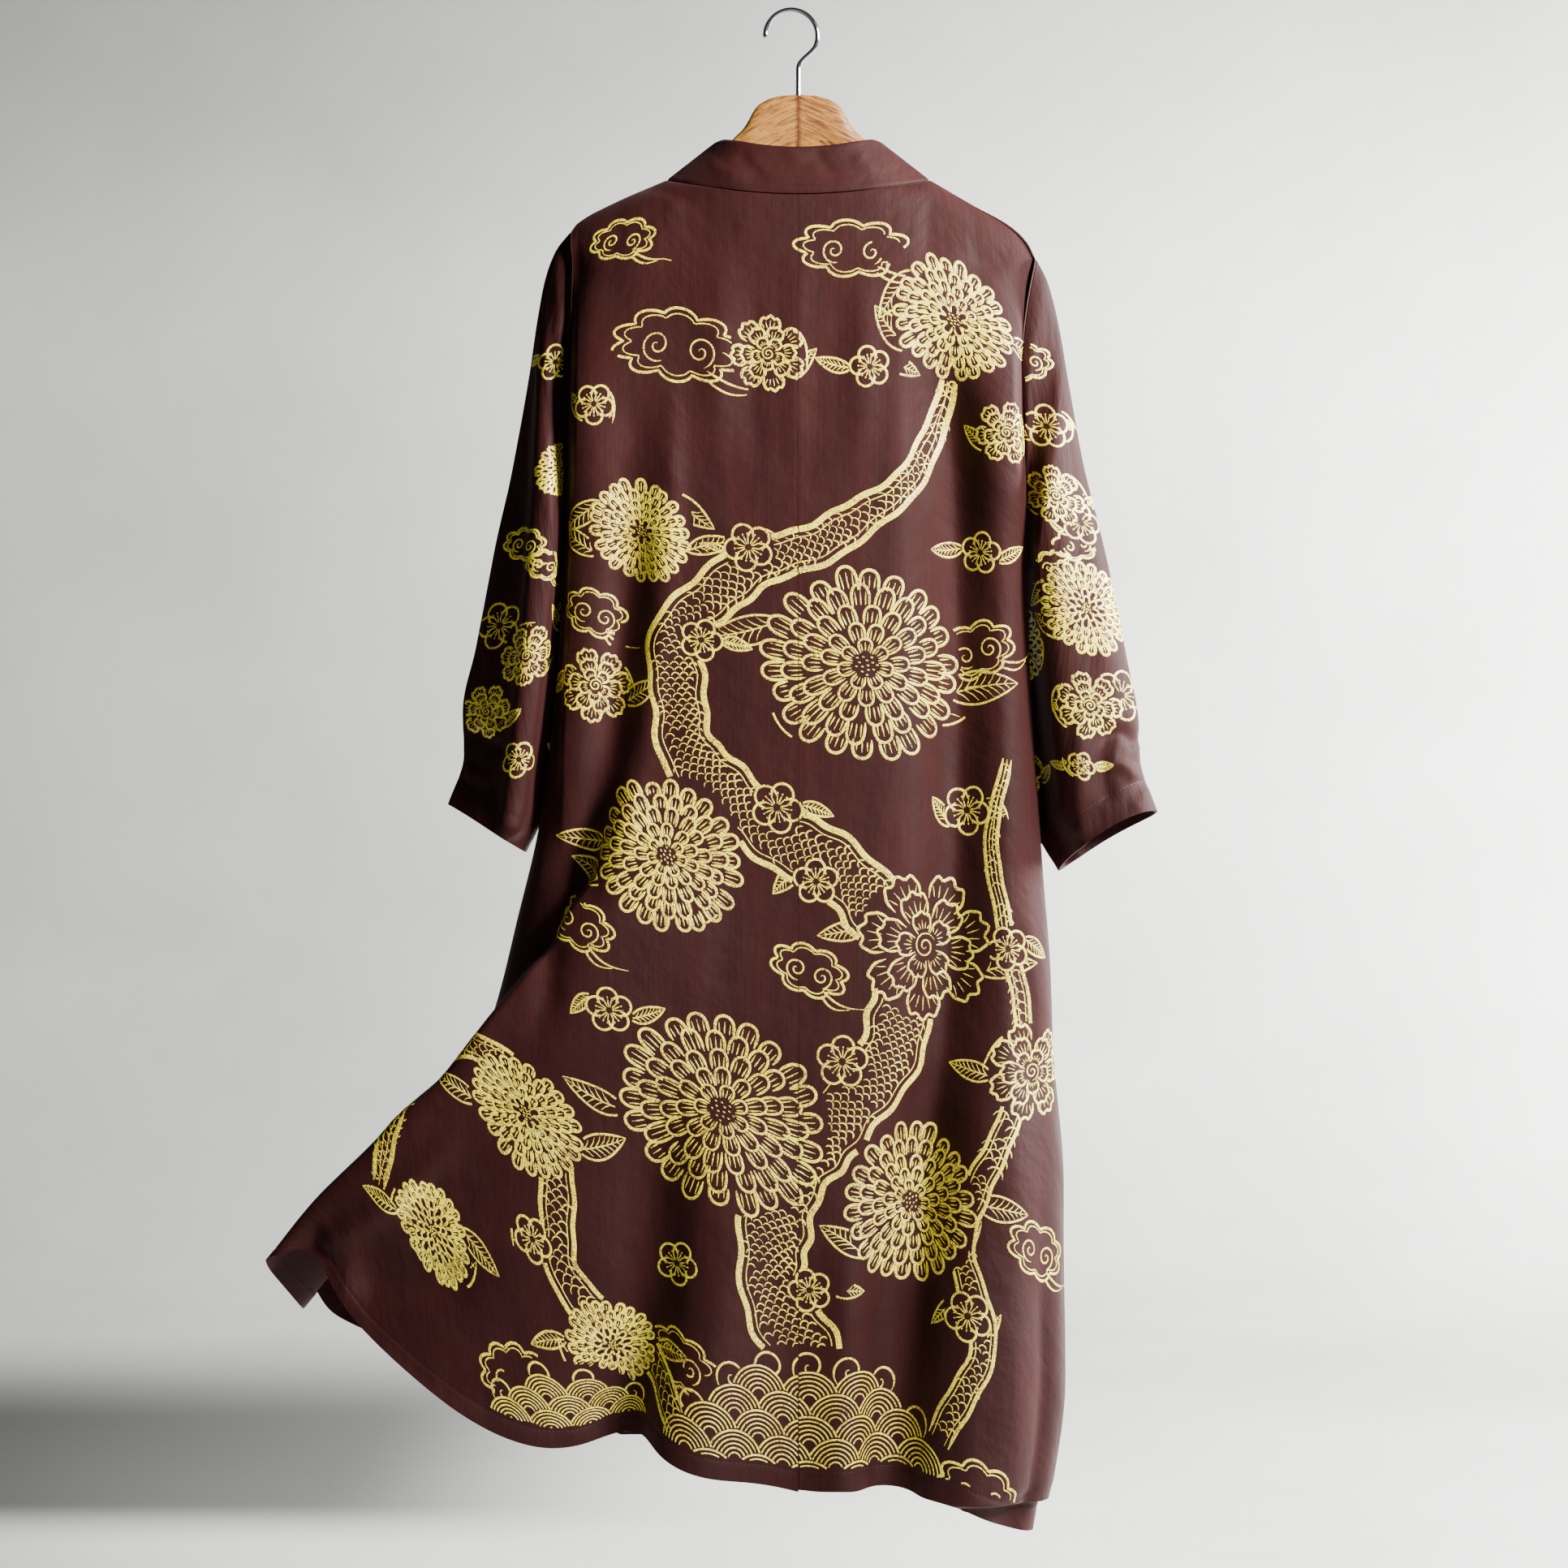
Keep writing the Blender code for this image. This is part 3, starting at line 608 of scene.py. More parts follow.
# The seam allowances: where two panels meet, both edges are turned to the inside and pressed open,
# which closes the seam from behind.
ALLOWANCE_WIDTH = 7.0
ALLOWANCE_UNDER = 1.5
ALLOWANCE_THICKNESS = 0.4
EDGE_PLACES = 240
SHOULDER_PLACES = 90


def edge_places(group, row, column, row_in, column_in):
    """Under an edge of a panel and, ALLOWANCE_WIDTH further in, under the panel itself."""
    edge, away = on_cloth(group, row, column)
    inside = sample(group["outer"], row + row_in * 0.01, column + column_in * 0.01) - edge
    inside = unit(inside - away * (inside * away).sum(-1, keepdims=True))
    under = edge - away * ALLOWANCE_UNDER
    return under, under + inside * ALLOWANCE_WIDTH


def make_allowance(name, one, other):
    """A strip from under one panel, by both edges, to under the other."""
    (edge, inside), (other_edge, other_inside) = one, other
    near, far = (edge * share + other_edge * (1 - share) for share in (0.75, 0.25))
    return make_cloth(name, np.stack([inside, near, far, other_inside]), ALLOWANCE_THICKNESS)


def down_edge(group, row, inwards):
    """The places of a panel's edge down one of its rows."""
    columns = np.linspace(0, len(LEVELS) - 1, EDGE_PLACES)
    return edge_places(group, np.full(EDGE_PLACES, float(row)), columns, inwards, 0)


centre_edges = down_edge(backs["left"], 0, 1), down_edge(backs["right"], 0, 1)
backs["left"]["with"].append(make_allowance("centre_back_allowance", *centre_edges))


# The two fronts: the same cloth, open down the middle. The photo doesn't show them, so they hang
# plainly, with the few soft folds that the blown skirt pulls in.
FRONT_HEM_RISE = 24.0
LEFT_EDGE_SWING = table("level x", "0 0, 0.45 0, 0.7 -26, 0.85 -66, 1 -118")
FRONT_FOLDS = {
    "left": table(FOLD_COLUMNS, """
        0.3 0.26 0.13 0.4 1 14 0 0,
        0.58 0.56 0.13 0.5 1 -16 0 0,
        0.9 0.88 0.1 0.8 1 8 0 -20
    """),
    "right": table(FOLD_COLUMNS, """
        0.32 0.3 0.12 0.4 1 12 0 0,
        0.62 0.6 0.12 0.45 1 -14 0 0
    """),
}
FRONT_CREASES = table(CREASE_COLUMNS, """
    150 -290 158 -470 150 -700 14 18 -7 0.3 0.3,
    110 -300 106 -520 116 -760 16 14 4 0.35 0.35,
    95 -640 102 -900 96 -1240 14 18 -6 0.4 0.2,
    175 -760 182 -980 176 -1300 18 14 5 0.4 0.1,
    205 -600 214 -760 216 -960 10 12 -4 0.35 0.35,
    -150 -300 -152 -480 -146 -690 16 14 -7 0.3 0.3,
    -105 -310 -100 -540 -112 -780 14 16 4 0.35 0.35,
    -120 -700 -142 -930 -170 -1230 16 18 -7 0.4 0.15,
    -175 -640 -200 -900 -255 -1180 18 14 6 0.4 0.15,
    -215 -820 -262 -1000 -345 -1190 14 16 -6 0.35 0.1,
    -60 -900 -80 -1080 -120 -1290 12 14 4 0.4 0.1,
    190 -235 160 -244 128 -236 10 10 2 0.4 0.4,
    -180 -232 -150 -240 -122 -232 10 10 2 0.4 0.4,
    52 -1060 58 -1180 60 -1310 10 12 -4 0.4 0.05
""")


def front_surface(side, station, level):
    """A front: like a back, from its free front edge to the side seam."""
    edge_x = CENTRE_X + outward(side) * read(BODY, "opening", level)
    if side == "left":
        edge_x = edge_x + read(LEFT_EDGE_SWING, "x", level)
    neck_z = NECK_LOW_Z + NECK_RISE
    edge = edge_x, neck_z - (BODY_LENGTH + NECK_RISE - FRONT_HEM_RISE) * level
    top = CENTRE_X + outward(side) * NECK_HALF_WIDTH, neck_z
    x, z, _, seam_y, _, full = spread(side, station, level, edge, top)
    depth = read(BODY, "front", level) * draped(level) * full
    depth = depth + (armhole_share(station, level) + seam_y) * (1 - full)
    points = np.stack([x, depth + SEAM_HALF_GAP, z], axis=-1)
    add_folds(points, FRONT_FOLDS[side], 1, station, level)
    return points


FRONT_STATIONS = 100
fronts = {}
for side in ("left", "right"):
    front = make_panel("front", front_surface, FRONT_CREASES, side, FRONT_STATIONS, True, 300)
    last_back, last_front = BACK_STATIONS[side] - 1, FRONT_STATIONS - 1
    side_edges = down_edge(backs[side], last_back, -1), down_edge(front, last_front, -1)
    front["with"].append(make_allowance(f"side_allowance_{side}", *side_edges))
    top_row = np.arcsin(NECK_HALF_WIDTH / abs(SIDE_SEAM[side]["x"][0] - CENTRE_X)) * 2 / math.pi
    tops = (
        edge_places(
            group, np.linspace(start, 0.998, SHOULDER_PLACES) * last, np.zeros(SHOULDER_PLACES), 0, 1
        )
        for group, start, last in ((backs[side], top_row, last_back), (front, 0.002, last_front))
    )
    front["with"].append(make_allowance(f"shoulder_allowance_{side}", *tops))
    fronts[side] = front


# The two sleeves: three-quarter tubes set into the armholes, each cut in one with its seam under
# the arm. Their cuffs are turned up inside and stitched, and gape because nothing fills them.
SLEEVE_GAP = 0.65
SLEEVE_TURN = {"left": (28.0, 28.0), "right": (18.0, -8.0)}
SLEEVE_TUCK = 20.0
SLEEVE_FLATTENING = 0.2
TUCK_FLATTENING = 0.8
SLEEVE_COLUMNS = "station outer_x outer_z inner_x inner_z half_depth tilt"
SLEEVE = {
    "left": table(SLEEVE_COLUMNS, """
        0 -207 -207 -214 -479 38 0,
        0.06 -220 -224 -212 -499 43 0,
        0.14 -231 -255 -211.5 -519 46 0,
        0.28 -243 -331 -212.5 -551 48 0,
        0.45 -260 -425 -214.5 -597 48 0,
        0.6 -276 -505 -216.5 -638 47 0,
        0.75 -294 -595 -220.5 -684 45 0,
        0.88 -307 -657 -226.5 -726 42 0,
        0.94 -306 -696 -231.5 -752 41 0,
        1 -321 -742 -248 -787 43 1
    """),
    "right": table(SLEEVE_COLUMNS, """
        0 229.5 -233 221 -490 38 0,
        0.06 239 -252 219 -512 43 0,
        0.14 249 -290 218 -532 46 0,
        0.28 260 -353 218.5 -562 48 0,
        0.45 278 -451 219.5 -608 48 0,
        0.6 296 -524 221 -650 47 1,
        0.75 313 -604 223 -695 45 2,
        0.88 325 -669 225.5 -737 42 4,
        0.94 326 -701 228.5 -765 41 5,
        1 342 -749 250 -804 43 7
    """),
}
SLEEVE_CREASES = table(CREASE_COLUMNS, """
    -226 -270 -235 -500 -264 -778 12 10 9 0.15 0.03,
    -262 -430 -276 -560 -294 -680 10 14 3 0.3 0.3,
    -300 -668 -280 -686 -258 -690 7 9 -4 0.15 0.4,
    -306 -706 -288 -716 -270 -712 7 8 3 0.15 0.4,
    238 -420 247 -560 264 -780 26 9 4 0.3 0.1,
    270 -400 288 -540 300 -650 14 12 3 0.3 0.3,
    324 -690 306 -676 284 -690 7 8 -5 0.12 0.4,
    322 -722 304 -704 282 -712 6 7 3.5 0.15 0.4,
    300 -660 290 -700 296 -745 7 8 -3.5 0.35 0.15,
    270 -640 268 -710 274 -775 9 8 4 0.35 0.1,
    333 -725 326 -738 318 -752 5 6 2.5 0.3 0.3
""")
SLEEVE_AROUND = 120
SLEEVE_ALONG = np.concatenate([np.linspace(0, 1, 125)[:-1] * 0.93, np.linspace(0.93, 1.0, 26)])
SLEEVE_LENGTH = {"left": 455.0, "right": 450.0}
CUFF_HEM_DEPTH = 15.0


def armhole_point(side, around):
    """The body's armhole: its level falls by a cosine and its depth swings by a sine as around
    turns over the back."""
    level = UNDERARM * (1 - np.cos(around)) / 2
    x, z = read(SIDE_SEAM[side], "x", level), read(SIDE_SEAM[side], "z", level)
    back = np.sin(around)
    return np.stack([x, -ARMHOLE_HALF_DEPTH * back + ARMHOLE_VALLEY * np.maximum(back, 0), z], axis=-1)


def sleeve_ring(side, around, station):
    """An ellipse between the outer and the inner line, with its near side raised by the tilt, and
    its inner side tucked behind the body's edge."""
    outer_x, outer_z, inner_x, inner_z, depth, tilt = (
        read(SLEEVE[side], name, station) for name in SLEEVE_COLUMNS.split()[1:]
    )
    over, back = np.cos(around), np.sin(around)
    x = (outer_x + inner_x) / 2 + (outer_x - inner_x) / 2 * over
    z = (outer_z + inner_z) / 2 + (outer_z - inner_z) / 2 * over + tilt * (back + back**2)
    tuck = ease((-over - 0.5) / 0.35) * ease(station / 0.12) * (1 - 0.5 * ease((station - 0.9) / 0.1))
    flat = SLEEVE_FLATTENING * ease(station / 0.2) + (TUCK_FLATTENING - SLEEVE_FLATTENING) * tuck
    flat = flat * (back > 0)
    return np.stack([x, -depth * back * (1 - flat) + SLEEVE_TUCK * tuck, z], axis=-1)


def sleeve_surface(side, around, station):
    """Rings that start on the armhole's edge, and leave it by the fourth power of what is left to
    the cuff; the valley beside the body ends sooner. Their near side leans outwards by a sine of
    twice the angle."""
    ring = sleeve_ring(side, around, station)
    first = sleeve_ring(side, around, np.zeros_like(station))
    ring += (armhole_point(side, around) - first) * ((1 - station) ** 4)[..., None]
    ring[..., 0] += outward(side) * SLEEVE_GAP
    valley = 1 - ease((station - 0.08) / 0.22) - (1 - station) ** 4
    ring[..., 1] += ARMHOLE_VALLEY * valley * np.maximum(np.sin(around), 0)
    turn_in = np.interp(station, [0, 1], SLEEVE_TURN[side]) * ease(station / 0.3)
    ring[..., 1] += turn_in * np.cos(around) * np.maximum(np.sin(around), 0)
    return ring


sleeves = {}
for side in ("left", "right"):
    turn = np.arange(SLEEVE_AROUND) * 2 * math.pi / SLEEVE_AROUND
    around, station = np.meshgrid(turn, SLEEVE_ALONG, indexing="ij")
    flipped, sign = side == "left", outward(side)
    points = sleeve_surface(side, around, station)
    calm = ease(station / 0.05) * (0.3 + 0.7 * ease(0.5 + np.sin(around)))
    add_creases(points, normals_of(points, closed=True) * sign, SLEEVE_CREASES, calm)
    from_stitch = (station - 1) * SLEEVE_LENGTH[side] + CUFF_HEM_DEPTH
    groove = HEM_STITCH_GROOVE * bell(from_stitch, 1.8)
    points -= normals_of(points, closed=True) * sign * groove[..., None]
    normals = normals_of(points, closed=True) * sign
    wall = hem_thickness(from_stitch)
    piece = make_cloth(f"sleeve_{side}_cloth", points, wall, closed=True, flipped=flipped)
    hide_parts(f"sleeve_{side}")
    cuff_station = 1 - CUFF_HEM_DEPTH / SLEEVE_LENGTH[side]
    cuff = np.interp(cuff_station, SLEEVE_ALONG, np.arange(len(SLEEVE_ALONG)))
    sleeves[side] = {"piece": piece, "outer": points, "normals": normals, "with": []}
    make_stitches(f"sleeve_{side}_cuff_stitches", sleeves[side], cuff, 300)
    edge_in = sleeve_surface(side, turn, np.zeros(SLEEVE_AROUND)) - normals[:, 0] * ALLOWANCE_UNDER
    on_body = armhole_point(side, turn) * [1, 0.93, 1] - [sign * 9, 0, 0]
    ring = np.stack([points[:, 5] - normals[:, 5] * ALLOWANCE_UNDER, edge_in, on_body], axis=1)
    strip = make_cloth(f"armhole_allowance_{side}", ring, ALLOWANCE_THICKNESS, closed=True, flipped=flipped)
    sleeves[side]["with"].append(strip)


# The neckband: one folded band, stiffened inside, sewn round the back of the neck and down both
# front edges to the hem. It stands up behind the neck, where the hanger shows over it.
NECKBAND = table("level inward forward up", """
    -1 0 9 46, -0.5 16 10 46, -0.2 33 10 44, 0 46 7 37, 0.03 48 3 24, 0.1 46 2 13, 0.2 44 1 7,
    0.3 43 0 0, 1 44 0 0
""")
NECKBAND_SEAM_GAP = 1.3
NECKBAND_THICKNESS = 2.6
NECKBAND_EDGE_ROUND = 0.06
NECKBAND_EDGE_DROP = 0.8
NECK_PLACES = 60
NECK_SEAM_DEPTH = 4.0
NECK_TURNED_DOWN = 9.0
NECKBAND_CREASES = table(CREASE_COLUMNS, """
    -52 -132 -38 -150 -20 -168 6 9 -1.6 0.3 0.4,
    -78 -140 -62 -152 -40 -160 5 8 1.2 0.3 0.4,
    20 -130 30 -146 46 -164 7 6 -1.2 0.35 0.4,
    60 -134 68 -146 88 -156 6 8 1.2 0.35 0.4,
    -10 -128 2 -138 16 -150 6 6 0.8 0.35 0.4
""")


def neckband_surface(side, level, across):
    """From the seam on the neck or the front's edge, straight across by the table's three widths;
    levels below 0 run on the neck."""
    reach = abs(SIDE_SEAM[side]["x"][0] - CENTRE_X)
    over = NECK_HALF_WIDTH * np.clip(1 + level, 0, 1) / reach
    on_neck = back_surface(side, np.arcsin(over) * 2 / math.pi, np.zeros_like(level))
    on_front = front_surface(side, np.zeros_like(level), np.clip(level, 0, 1))
    seam = np.where((level < 0)[..., None], on_neck, on_front)
    seam[..., 1] = np.where(level == 0, 0, seam[..., 1])
    inward, forward, up = (read(NECKBAND, name, level) for name in ("inward", "forward", "up"))
    width = np.stack([-outward(side) * inward, forward, up], axis=-1)
    seam_share = NECKBAND_SEAM_GAP / np.linalg.norm(width, axis=-1, keepdims=True)
    return seam + width * (seam_share + across[..., None] * (1 - seam_share))


def neckband_material():
    """The robe's own cloth over a fusible interlining, cut along the band: the slubs run with it,
    and it lies flatter."""
    material = ROBE_CLOTH.copy()
    material.name = "washed_viscose_satin_interlined"
    for made in material.node_tree.nodes:
        if made.type == "MAPPING":
            scale = made.inputs["Scale"].default_value
            made.inputs["Scale"].default_value = (scale[1], scale[0], scale[2])
    return material


down = np.concatenate([np.linspace(-1, -0.02, NECK_PLACES), LEVELS[::2]])
level, across = np.meshgrid(down, np.linspace(0, 1, 26), indexing="ij")
left_points = neckband_surface("left", level[:0:-1], across[:0:-1])
band_points = np.concatenate([left_points, neckband_surface("right", level, across)])
band_across = np.concatenate([across[:0:-1], across])
band_calm = ease(band_across / 0.15) * ease((1 - band_across) / 0.1)
add_creases(band_points, normals_of(band_points), NECKBAND_CREASES, band_calm)
from_edge = np.minimum(band_across, 1 - band_across) / NECKBAND_EDGE_ROUND
edge_round = 1 - np.sqrt(1 - np.clip(1 - from_edge, 0, 1) ** 2)
band_points = band_points - normals_of(band_points) * (edge_round * NECKBAND_EDGE_DROP)[..., None]
band_thickness = NECKBAND_THICKNESS - edge_round * NECKBAND_EDGE_DROP * 2
neckband = make_cloth("neckband_cloth", band_points, band_thickness, material=neckband_material())
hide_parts("neckband")
neck_level = np.linspace(-1, 0, NECK_PLACES)
front_level = np.linspace(0.002, 1, EDGE_PLACES)
for side in ("left", "right"):
    reach = abs(SIDE_SEAM[side]["x"][0] - CENTRE_X)
    neck_station = np.arcsin(NECK_HALF_WIDTH * (1 + neck_level) / reach) * 2 / math.pi
    neck_row = neck_station * (BACK_STATIONS[side] - 1)
    neck = backs[side], neck_row, np.zeros(NECK_PLACES), 0, 1
    front_edge = fronts[side], np.zeros(EDGE_PLACES), column_at(front_level), 1, 0
    # Round the neck it is turned down, so the seam shows as a dark line under the band.
    for name, places, level, near, far in (
        ("neck", neck, neck_level, NECK_SEAM_DEPTH, NECK_TURNED_DOWN),
        ("front_edge", front_edge, front_level, NECKBAND_THICKNESS + 0.5, 0.0),
    ):
        _, under = on_cloth(*places[:3])
        cloth_edge = [edge - under * far for edge in edge_places(*places)]
        on_band = [
            neckband_surface(side, level, np.full(level.shape, share)) - under * depth
            for share, depth in ((0.0, near), (0.14, NECKBAND_THICKNESS + 0.5))
        ]
        make_allowance(f"{name}_allowance_{side}", cloth_edge, on_band)
        if name == "neck" and side == "left":
            middle = np.stack([cloth_edge[1][0], cloth_edge[0][0], on_band[0][0], on_band[1][0]])
            patch = np.stack([middle - [5, 0, 0], middle + [5, 0, 0]])
            make_cloth("neck_centre_allowance", patch, ALLOWANCE_THICKNESS)


# The gold print: foil pressed onto the cloth before it was sewn, in a stock pattern of boughs,
# flowers, clouds and waves. It is laid out on the flat cloth, across from the centre seam and down
# from the neck, so it follows every fold, and it stops at the seams.
FOIL_HEIGHT = 0.38
FOIL_STEP = 2.8
BOUGH_LINE = 6.4
BOLD_LINE = 3.1
FINE_LINE = 1.6
HAIR_LINE = 1.15
HEM_MARGIN = 21.0
SIDE_MARGIN = 2.0
RIGHT_SIDE_MARGIN = 15.0
RIGHT_SIDE_MARGIN_FROM = 930.0
CLOTH_READ_STEP = 2.0

CHRYSANTHEMUMS = table("across down radius turn squash", """
    62 436 96 0.2 0.92, -122 625 74 1.1 0.9, -72 862 98 0.5 0.92, 112 930 76 1.9 0.9,
    -148 318 52 0.8 0.86, 146 112 58 0.3 0.9, -262 905 56 0.4 0.9, -196 1092 46 1.4 0.92,
    -372 1052 42 2.2 0.9
""")
PEONIES = table("across down radius turn", """
    122 690 66 0.7, -196 470 34 1.7, 232 800 44 2.6, -28 150 34 0.4, 206 210 30 1.2
""")
BLOSSOMS = table("across down radius turn", """
    -20 570 24 0.1, 16 636 21 0.9, -46 330 23 0.5, -90 420 20 1.3, 166 566 23 0.2, 40 800 24 1,
    176 1030 23 0.4, -176 780 22 0.8, 10 1010 20 0.6, -120 1010 22 0.2, 66 160 19 0.7,
    180 330 20 1.1, -190 200 19 0.3, 206 690 20 0.5, -260 1010 19 0.2
""")
BOUGHS = {
    "main": table("across down half_width", """
        52 1168 34, 6 1075 33, -30 985 32, 6 885 32, 78 806 31, 104 725 30, 58 640 29, -28 590 28,
        -104 520 26, -116 432 24, -56 356 22, 30 318 18, 104 262 13, 138 200 9, 146 150 5
    """),
    "left": table("across down half_width", """
        -120 1158 17, -186 1080 17, -236 1010 16, -232 920 15, -300 856 14, -372 900 12, -410 980 9,
        -430 1040 6
    """),
    "right": table("across down half_width", """
        150 1140 12, 192 1050 12, 166 960 12, 206 870 11, 222 770 9, 206 680 7, 190 600 6, 206 520 4
    """),
}
CLOUDS = table("across down half_width half_height lobes turn", """
    50 52 50 19 9 0.1, -112 148 58 24 10 0.1, -168 44 32 14 8 0.3, 176 420 36 19 8 -0.3,
    -196 400 30 17 8 0.3, 10 718 34 17 8 0.3, -206 700 34 18 8 0.4, 250 960 36 18 8 0.2,
    -300 1132 36 18 9 -0.5, -470 940 34 17 8 0.8, -120 1100 40 19 9 0.1, 196 1176 44 20 9 0
""")
WAVES = table("across down half_width height scale", "10 1192 124 92 48, -250 1192 70 56 38")
chance = np.random.default_rng(7)


def polar(angle, reach):
    """The place at an angle and a reach from a motif's middle."""
    return np.stack([np.cos(angle) * reach, np.sin(angle) * reach], -1)


def read_path(path, count_of):
    """A path read at even steps, of which count_of gives the number for its length, and how far
    each old and new place lies along it."""
    run = np.concatenate([[0], np.cumsum(np.hypot(*np.diff(path, axis=0).T))])
    even = np.linspace(0, run[-1], count_of(run[-1]))
    return np.stack([np.interp(even, run, path[:, 0]), np.interp(even, run, path[:, 1])], -1), run, even


def brushed(points, width, thin_start=0.25, thin_end=0.25, step=FOIL_STEP):
    """A drawn line in even steps and its width at each point, which swells from a third at its
    ends."""
    points = read_path(np.asarray(points, float), lambda length: max(4, math.ceil(length / step) + 1))[0]
    part = np.linspace(0, 1, len(points))
    swell = ease(part / thin_start) * ease((1 - part) / thin_end)
    return points, width * (0.35 + 0.65 * swell)


def placed(lines, across, down, turn=0.0, squash=1.0):
    """The lines of a motif, squashed, turned and moved to their place."""
    cos, sin = math.cos(turn), math.sin(turn)
    turned = np.array([[cos, sin], [-sin, cos]])
    return [((points * [1, squash]) @ turned + [across, down], width) for points, width in lines]


def petal(middle, half, near, far, square, power, part):
    """A petal's rim: its angle swings from side to side, more evenly the squarer it is, while its
    radius rises by a low power of a sine."""
    rise = np.sin(part * math.pi)
    angle = middle + (part * 2 - 1) * half * (1 - square + square * rise)
    return polar(angle, near + (far - near) * rise**power)


def chrysanthemum(radius):
    """Five rings of petals with veins along them, round a spiral of seeds."""
    rings = ((0.13, 0.27, 7), (0.25, 0.44, 11), (0.42, 0.63, 15), (0.60, 0.82, 19), (0.78, 1.0, 22))
    for ring, (start, end, count) in enumerate(rings):
        half = math.pi / count * 1.02
        for number in range(count):
            middle = 2 * math.pi * (number + 0.5 * (ring % 2)) / count + chance.normal(0, 0.03)
            tip = radius * end * (1 + chance.normal(0, 0.025))
            rim = petal(middle, half, radius * start, tip, 0.22, 0.42, np.linspace(0, 1, 24))
            yield brushed(rim, BOLD_LINE * (0.62 + 0.38 * end), 0.12, 0.12)
            if radius * (end - start) < 9:
                continue
            for off in (-0.42, 0.0, 0.42):
                inner = radius * (start + 0.10 * (end - start))
                outer = tip - radius * (end - start) * (0.28 + 0.16 * abs(off))
                vein = polar(middle + off * half, np.linspace(inner, outer, 6))
                yield brushed(vein, HAIR_LINE * 1.25, 0.1, 0.6)
    for seed in range(14):
        middle = polar(seed * 2.4, radius * 0.115 * math.sqrt((seed + 0.5) / 14))
        yield brushed(middle + np.array([[-1.2, 0], [1.2, 0]]), FINE_LINE, 0.5, 0.5, 0.9)


def peony(radius):
    """Three rings of broad petals, whose rims ripple by a cosine, round a tight curl."""
    part = np.linspace(0, 1, 36)
    ripple = 1 + 0.045 * np.cos(part * math.pi * 8) * np.sin(part * math.pi)
    for start, end, count, stagger in ((0.20, 0.46, 5, 0.0), (0.40, 0.74, 6, 0.5), (0.66, 1.0, 7, 0.0)):
        half = math.pi / count * 1.08
        for number in range(count):
            middle = 2 * math.pi * (number + stagger) / count + chance.normal(0, 0.05)
            rim = petal(middle, half, radius * start, radius * end * ripple, 0.26, 0.38, part)
            yield brushed(rim, BOLD_LINE * (0.6 + 0.35 * end), 0.12, 0.12)
            for off in np.linspace(-0.6, 0.6, 5):
                reach = np.linspace(start + 0.04, end - 0.10 - 0.10 * abs(off), 5) * radius
                vein = polar(middle + off * half * np.linspace(0.75, 1, 5), reach)
                yield brushed(vein, HAIR_LINE, 0.1, 0.6)
    curl = polar(np.linspace(0, 3.6 * math.pi, 40), radius * 0.19 * np.linspace(0.12, 1, 40))
    yield brushed(curl, FINE_LINE, 0.1, 0.2, 1.6)


def plum_blossom(radius):
    """Five petals, each most of a circle, with a ring of stamens that end in dots."""
    for number in range(5):
        middle = 2 * math.pi * number / 5
        edge = polar(middle, radius * 0.56) + polar(np.linspace(-2.25, 2.25, 22) + middle, radius * 0.42)
        yield brushed(edge, BOLD_LINE * 0.8, 0.1, 0.1, 2.0)
        for off in (-0.35, 0.0, 0.35):
            stamen = polar(middle + off, radius * np.array([0.14, 0.5]))
            dot = polar(middle + off, radius * 0.56 + np.array([-0.9, 0.9]))
            yield brushed(stamen, HAIR_LINE, 0.1, 0.3, 2.0)
            yield brushed(dot, FINE_LINE * 1.2, 0.5, 0.5, 0.7)


def leaf(length, width, bend):
    """Two edges that bow out by a skewed sine, a midrib that bends by a square, and slanting veins
    between them."""
    part = np.linspace(0, 1, 26)
    rib = np.stack([part * length, bend * length * part**2], -1)
    bow = width / 2 * np.sin(math.pi * part**0.8) ** 0.9
    yield brushed(rib, FINE_LINE, 0.05, 0.5)
    for side in (-1, 1):
        edge = rib + np.stack([np.zeros(26), side * bow], -1)
        yield brushed(edge, BOLD_LINE * 0.72, 0.1, 0.2)
        for place in np.linspace(0.14, 0.80, 7):
            root = np.array([place * length, bend * length * place**2])
            reach = width / 2 * math.sin(math.pi * (place + 0.07) ** 0.8) ** 0.9 * 0.82
            tip = root + [reach * 0.95, side * reach + bend * length * 0.1]
            middle = (root + tip) / 2 + [reach * 0.14, 0]
            yield brushed([root, middle, tip], HAIR_LINE, 0.1, 0.6)


def scroll(radius, turns, start, way):
    """A spiral whose radius falls evenly to a tenth."""
    return polar(start + way * np.linspace(0, turns * 2 * math.pi, 48), radius * np.linspace(1, 0.1, 48))


def cloud(half_width, half_height, lobes):
    """An ellipse with rounded lobes, each the hump of a half sine, drawn twice, with two scrolls
    and a drawn-out tail."""
    turn = np.linspace(0, 2 * math.pi, 200)
    for scale, width in ((1.0, BOLD_LINE * 0.85), (0.84, HAIR_LINE * 1.1)):
        swell = scale * (0.86 + 0.24 * np.abs(np.sin(turn * lobes / 2)) ** 0.8)
        yield brushed(polar(turn, swell) * [half_width, half_height * 1.25], width, 0.01, 0.01)
    for off, way in ((-0.34, 1), (0.36, -1)):
        spiral = scroll(half_height * 0.62, 1.6, 1.2, way) + [half_width * off, half_height * 0.12]
        yield brushed(spiral, FINE_LINE * 1.1, 0.1, 0.1, 2.0)
    part = np.linspace(0, 1, 24)
    for drop, reach in ((0.55, 1.75), (0.85, 1.35)):
        fall = drop + 0.55 * np.sin(part * 2.6) * (1 - part * 0.4) + 0.25
        tail = np.stack([half_width * (0.5 + (reach - 0.5) * part), half_height * fall], -1)
        yield brushed(tail, BOLD_LINE * 0.75, 0.1, 0.8)


